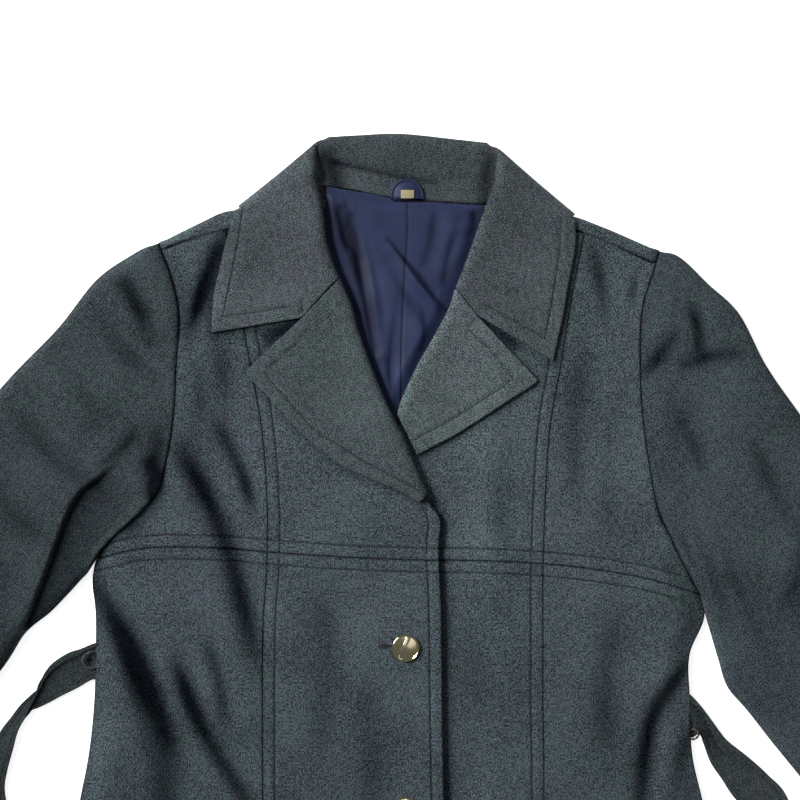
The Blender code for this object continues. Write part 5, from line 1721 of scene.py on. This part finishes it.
def metal_material(colour, roughness):
    """Pale gold with a little wear and fine scratches."""
    made, tree, shader = blank_material("pale_gold_metal", roughness, 1.0)
    where = tree.nodes.new("ShaderNodeTexCoord").outputs["Object"]
    wear = noise(tree, where, 420.0, 3.0, 0.6)
    shades = ramp(tree, wear, (0.3, tinted(colour, 0.9)), (0.7, colour))
    tree.links.new(shades, shader.inputs["Base Color"])
    scratches = noise(tree, where, 900.0, 2.0, 0.6, (1, 0.2, 1))
    relief(tree, shader, scratches, "fine scratches", 0.06, 0.0003)
    return made


def plain_cloth_material(name, colour, roughness, scale):
    """Thread or tape: a fine over-and-under pattern in a single colour."""
    made, tree, shader = blank_material(name, roughness)
    fine = noise(tree, tree.nodes.new("ShaderNodeTexCoord").outputs["Object"], scale, 2.0, 0.6)
    shades = ramp(tree, fine, (0.3, tinted(colour, 0.72)), (0.7, tinted(colour, 1.15)))
    tree.links.new(shades, shader.inputs["Base Color"])
    relief(tree, shader, fine, "weave", 0.4, 0.0003)
    return made


# How much lighter, darker and warmer each cut of the wool is painted, as painted light and shade for how
# light falls on it, and how short its flecks are along the cloth.
PAINTED_LIGHT_AND_GRAIN = {
    "slate_wool_body": ((1.0, 1.0, 1.0), 0.66),
    "slate_wool_left_sleeve": ((0.69, 0.69, 0.68), 0.8),
    "slate_wool_right_sleeve": ((0.80, 0.80, 0.80), 0.8),
    "slate_wool_collar": ((1.03, 0.95, 0.91), 1.0),
    "slate_wool_left_lapel": ((0.97, 0.94, 0.89), 1.0),
    "slate_wool_right_lapel": ((1.40, 1.33, 1.23), 1.0),
    "slate_wool_belt": ((0.70, 0.66, 0.62), 0.8),
}
# Thread, tape and the painted shade of gaps: the colour or its property's name, the roughness and the
# fineness of the pattern.
PLAIN_CLOTHS = {
    "slate_thread": ("thread", 0.75, 1800.0),
    "slate_cord": ((0.050, 0.060, 0.064), 0.85, 1500.0),
    "brown_thread": ((0.085, 0.062, 0.050), 0.8, 1500.0),
    "cream_tape": ("tape", 0.85, 1600.0),
    "dark_gap": ((0.006, 0.007, 0.009), 0.95, 900.0),
}


def finish_named(name):
    """A finish, made the first time that it is asked for."""
    found = bpy.data.materials.get(name)
    if found:
        return found
    looks = bpy.context.scene.coat_looks
    if name in PAINTED_LIGHT_AND_GRAIN:
        # Each cut's share brightens or darkens both flecks: painted light and shade.
        share, grain = PAINTED_LIGHT_AND_GRAIN[name]
        flecks = (looks.wool_dark, looks.wool_light)
        dark, light = (tuple(part * by for part, by in zip(colour, share)) for colour in flecks)
        return wool_material(name, dark, light, looks, (1.0, grain, 1.0))
    if name == "navy_satin_cloth":
        return satin_material(tuple(looks.satin))
    if name == "pale_gold_metal":
        return metal_material(tuple(looks.metal), looks.metal_roughness)
    if name in PLAIN_CLOTHS:
        colour, roughness, scale = PLAIN_CLOTHS[name]
        colour = getattr(looks, colour) if isinstance(colour, str) else colour
        return plain_cloth_material(name, tuple(colour), roughness, scale)
    raise RuntimeError(f"there is no finish named {name}")


# The photograph's frame: its middle across and down, its size in pixels and a pixel's size on the coat.
PHOTO_MIDDLE = (0.0, 229.6)
PHOTO_PIXELS = 800
PIXEL = 0.86
CAMERA_HEIGHT = 2.2  # metres
COAT_MIDDLE_UP = 0.008  # metres, the height of the cloth that the pixel's size is taken at
AREA_LIGHTS = (
    ("key", (-6.4, 3.2, 4.8), 4.4, 800.0),
    ("fill", (0.5, 0.6, 3.2), 2.4, 16.0),
)


def hang(scene, light, aim, offset):
    """A light set off from what it shines on."""
    holder = bpy.data.objects.new(light.name, light)
    holder.location = aim + Vector(offset)
    holder.rotation_euler = (-Vector(offset)).to_track_quat("-Z", "Y").to_euler()
    scene.collection.objects.link(holder)


class CoatSizes(bpy.types.PropertyGroup):
    """Sizes that a user would change."""

    stitch_pitch: FloatProperty(
        name="Stitch pitch",
        description="From one topstitch to the next", default=0.0036, unit="LENGTH", min=0.001
    )
    stitch_length: FloatProperty(
        name="Stitch length",
        description="Length of thread that shows", default=0.0029, unit="LENGTH", min=0.0005
    )
    thread_width: FloatProperty(
        name="Thread width",
        description="Width of the topstitching thread", default=0.0006, unit="LENGTH", min=0.0001
    )
    buttons: IntProperty(
        name="Buttons", description="Buttons down the front", default=BUTTON_COUNT, min=1, max=BUTTON_COUNT
    )


class CoatLooks(bpy.types.PropertyGroup):
    """Colours and finishes that a user would change."""

    wool_dark: FloatVectorProperty(
        name="Wool, dark fleck",
        description="Darkest yarn of the heathered wool",
        subtype="COLOR",
        default=(0.0050, 0.0075, 0.0090),
    )
    wool_light: FloatVectorProperty(
        name="Wool, light fleck",
        description="Lightest yarn of the heathered wool",
        subtype="COLOR",
        default=(0.103, 0.133, 0.148),
    )
    fleck_scale: FloatProperty(
        name="Fleck scale", description="Flecks to a metre of cloth, roughly", default=900.0, subtype="FACTOR"
    )
    satin: FloatVectorProperty(
        name="Satin", description="Colour of the lining", subtype="COLOR", default=(0.0185, 0.026, 0.066)
    )
    thread: FloatVectorProperty(
        name="Thread",
        description="Colour of the topstitching", subtype="COLOR", default=(0.012, 0.015, 0.018)
    )
    metal: FloatVectorProperty(
        name="Button metal", description="Colour of the buttons", subtype="COLOR", default=(0.74, 0.67, 0.42)
    )
    metal_roughness: FloatProperty(
        name="Button roughness",
        description="How matt the buttons are", default=0.14, subtype="FACTOR", min=0, max=1
    )
    tape: FloatVectorProperty(
        name="Label tape",
        description="Colour of the bare label", subtype="COLOR", default=(0.32, 0.28, 0.155)
    )


class COAT_OT_back(bpy.types.Operator):
    """Cut the back and fold it over the shoulders"""

    bl_idname = "coat.back"
    bl_label = "Back"

    def execute(self, context):
        back_panel(finish_named("slate_wool_body"))
        return {"FINISHED"}


class COAT_OT_fronts(bpy.types.Operator):
    """Cut the eight front panels and sink their topstitched seams"""

    bl_idname = "coat.fronts"
    bl_label = "Fronts"

    def execute(self, context):
        for side, strip, level in FRONT_PANELS:
            front_panel(side, strip, level, finish_named("slate_wool_body"))
        return {"FINISHED"}


class COAT_OT_sleeves(bpy.types.Operator):
    """Set both sleeves flat beside the body, with their creases"""

    bl_idname = "coat.sleeves"
    bl_label = "Sleeves"

    def execute(self, context):
        for side in SIDES:
            sleeve(side, finish_named(f"slate_wool_{side}_sleeve"))
        return {"FINISHED"}


class COAT_OT_collar(bpy.types.Operator):
    """Turn the collar and both lapels over the fronts"""

    bl_idname = "coat.collar"
    bl_label = "Collar and Lapels"

    def execute(self, context):
        collar(finish_named("slate_wool_collar"))
        for side in SIDES:
            lapel(side, finish_named(f"slate_wool_{side}_lapel"))
        return {"FINISHED"}


class COAT_OT_lining(bpy.types.Operator):
    """Lay the satin in the neck, with its tab and bare label"""

    bl_idname = "coat.lining"
    bl_label = "Lining"

    def execute(self, context):
        back_lining(finish_named("navy_satin_cloth"))
        neck_tab(finish_named("navy_satin_cloth"))
        neck_label(finish_named("cream_tape"))
        return {"FINISHED"}


class COAT_OT_belt(bpy.types.Operator):
    """Lay out the belt ties and their thread loops"""

    bl_idname = "coat.belt"
    bl_label = "Belt Ties"

    def execute(self, context):
        for side in SIDES:
            tie(side, finish_named("slate_wool_belt"))
            belt_loop(side, finish_named("slate_cord" if side == "left" else "brown_thread"))
        return {"FINISHED"}


class COAT_OT_buttons(bpy.types.Operator):
    """Sew on the metal buttons and work their holes"""

    bl_idname = "coat.buttons"
    bl_label = "Buttons"

    def execute(self, context):
        for number in range(context.scene.coat_sizes.buttons):
            button(number, finish_named("pale_gold_metal"), finish_named("dark_gap"))
            buttonhole(number, finish_named("slate_thread"), finish_named("dark_gap"))
        return {"FINISHED"}


class COAT_OT_stitching(bpy.types.Operator):
    """Run the topstitching along the seams and edges"""

    bl_idname = "coat.stitching"
    bl_label = "Topstitching"

    def execute(self, context):
        sizes = context.scene.coat_sizes
        pitch, length, thick = (
            value / MM for value in (sizes.stitch_pitch, sizes.stitch_length, sizes.thread_width)
        )
        thread = finish_named("slate_thread")
        groups = {
            "fronts": [(f"cloth_front_{'_'.join(each)}", front_lines(*each)) for each in FRONT_PANELS],
            "collar": [(f"cloth_lapel_{side}", LAPEL_STITCHES[side]) for side in SIDES],
        }
        groups["collar"].append(("cloth_collar", COLLAR_STITCHES))
        for group, runs in groups.items():
            work = bmesh.new()
            for piece, lines in runs:
                found = bpy.data.objects.get(piece)
                if found is None:
                    raise RuntimeError(f"{piece} is made before its topstitching")
                tree = surface_of(found)
                for line in lines:
                    batch = bmesh.new()
                    stitch_row(batch, tree, line, pitch, length, thick)
                    holder = bpy.data.meshes.new("stitch_batch")
                    batch.to_mesh(holder)
                    batch.free()
                    work.from_mesh(holder)
                    bpy.data.meshes.remove(holder)
            made = object_from(f"topstitching_{group}", work, thread, 180)
            dress(made, "wool")
        return {"FINISHED"}


class COAT_OT_stage(bpy.types.Operator):
    """Set the pale floor, the soft lights and the camera looking straight down"""

    bl_idname = "coat.stage"
    bl_label = "Stage"

    def execute(self, context):
        scene = context.scene
        floor = bmesh.new()
        bmesh.ops.create_grid(floor, x_segments=1, y_segments=1, size=6)
        bmesh.ops.translate(floor, vec=Vector((0, 0, -0.0004)), verts=list(floor.verts))
        white, _, shader = blank_material("pale_floor", 0.9)
        shader.inputs["Emission Color"].default_value = (1, 1, 1, 1)
        shader.inputs["Emission Strength"].default_value = 0.75
        shader.inputs["Base Color"].default_value = (0.86, 0.86, 0.86, 1)
        shader.inputs["Specular IOR Level"].default_value = 0.0
        laid = object_from("floor", floor, white)
        world = bpy.data.worlds.new("studio")
        world.use_nodes = True
        sky = world.node_tree.nodes["Background"].inputs
        sky["Color"].default_value, sky["Strength"].default_value = (0.93, 0.96, 1.0, 1), 0.14
        scene.world = world
        centre = Vector(place((*PHOTO_MIDDLE, 0.0)))
        for name, offset, size, power in AREA_LIGHTS:
            light = bpy.data.lights.new(name, "AREA")
            light.shape, light.size, light.energy = "SQUARE", size, power
            hang(scene, light, centre, offset)
        glow = bpy.data.lights.new("glow", "SPOT")
        glow.energy, glow.spot_size, glow.spot_blend = 230.0, math.radians(24), 1.0
        glow.shadow_soft_size = 0.3
        hang(scene, glow, Vector(place((30.0, 190.0, 0.0))), (-1.7, 0.9, 1.9))
        view = bpy.data.cameras.new("above")
        view.sensor_width = 36.0
        view.lens = view.sensor_width * (CAMERA_HEIGHT - COAT_MIDDLE_UP) / (PHOTO_PIXELS * PIXEL * MM)
        view.clip_end = 20
        watcher = bpy.data.objects.new("above", view)
        watcher.location = centre + Vector((0, 0, CAMERA_HEIGHT))
        scene.collection.objects.link(watcher)
        scene.camera = watcher
        scene.view_settings.view_transform = "Standard"
        return {"FINISHED"}


class COAT_PT_panel(bpy.types.Panel):
    """Buttons for each step of making the coat."""

    bl_label = "Wool Coat"
    bl_idname = "COAT_PT_panel"
    bl_space_type = "VIEW_3D"
    bl_region_type = "UI"
    bl_category = "Wool Coat"

    def draw(self, context):
        for operator in STEPS:
            self.layout.operator(operator.bl_idname)
        for group in (context.scene.coat_sizes, context.scene.coat_looks):
            for name in group.__annotations__:
                self.layout.prop(group, name)


STEPS = (
    COAT_OT_back,
    COAT_OT_lining,
    COAT_OT_fronts,
    COAT_OT_sleeves,
    COAT_OT_collar,
    COAT_OT_belt,
    COAT_OT_buttons,
    COAT_OT_stitching,
    COAT_OT_stage,
)
CLASSES = (CoatSizes, CoatLooks, *STEPS, COAT_PT_panel)


def register():
    for each in CLASSES:
        bpy.utils.register_class(each)
    bpy.types.Scene.coat_sizes = PointerProperty(type=CoatSizes)
    bpy.types.Scene.coat_looks = PointerProperty(type=CoatLooks)


def unregister():
    del bpy.types.Scene.coat_looks
    del bpy.types.Scene.coat_sizes
    for each in reversed(CLASSES):
        bpy.utils.unregister_class(each)


def main():
    register()
    for operator in STEPS:
        group, name = operator.bl_idname.split(".")
        result = getattr(getattr(bpy.ops, group), name)()
        if "FINISHED" not in result:
            raise RuntimeError(f"{operator.bl_label} didn't finish")


if __name__ == "__main__":
    main()
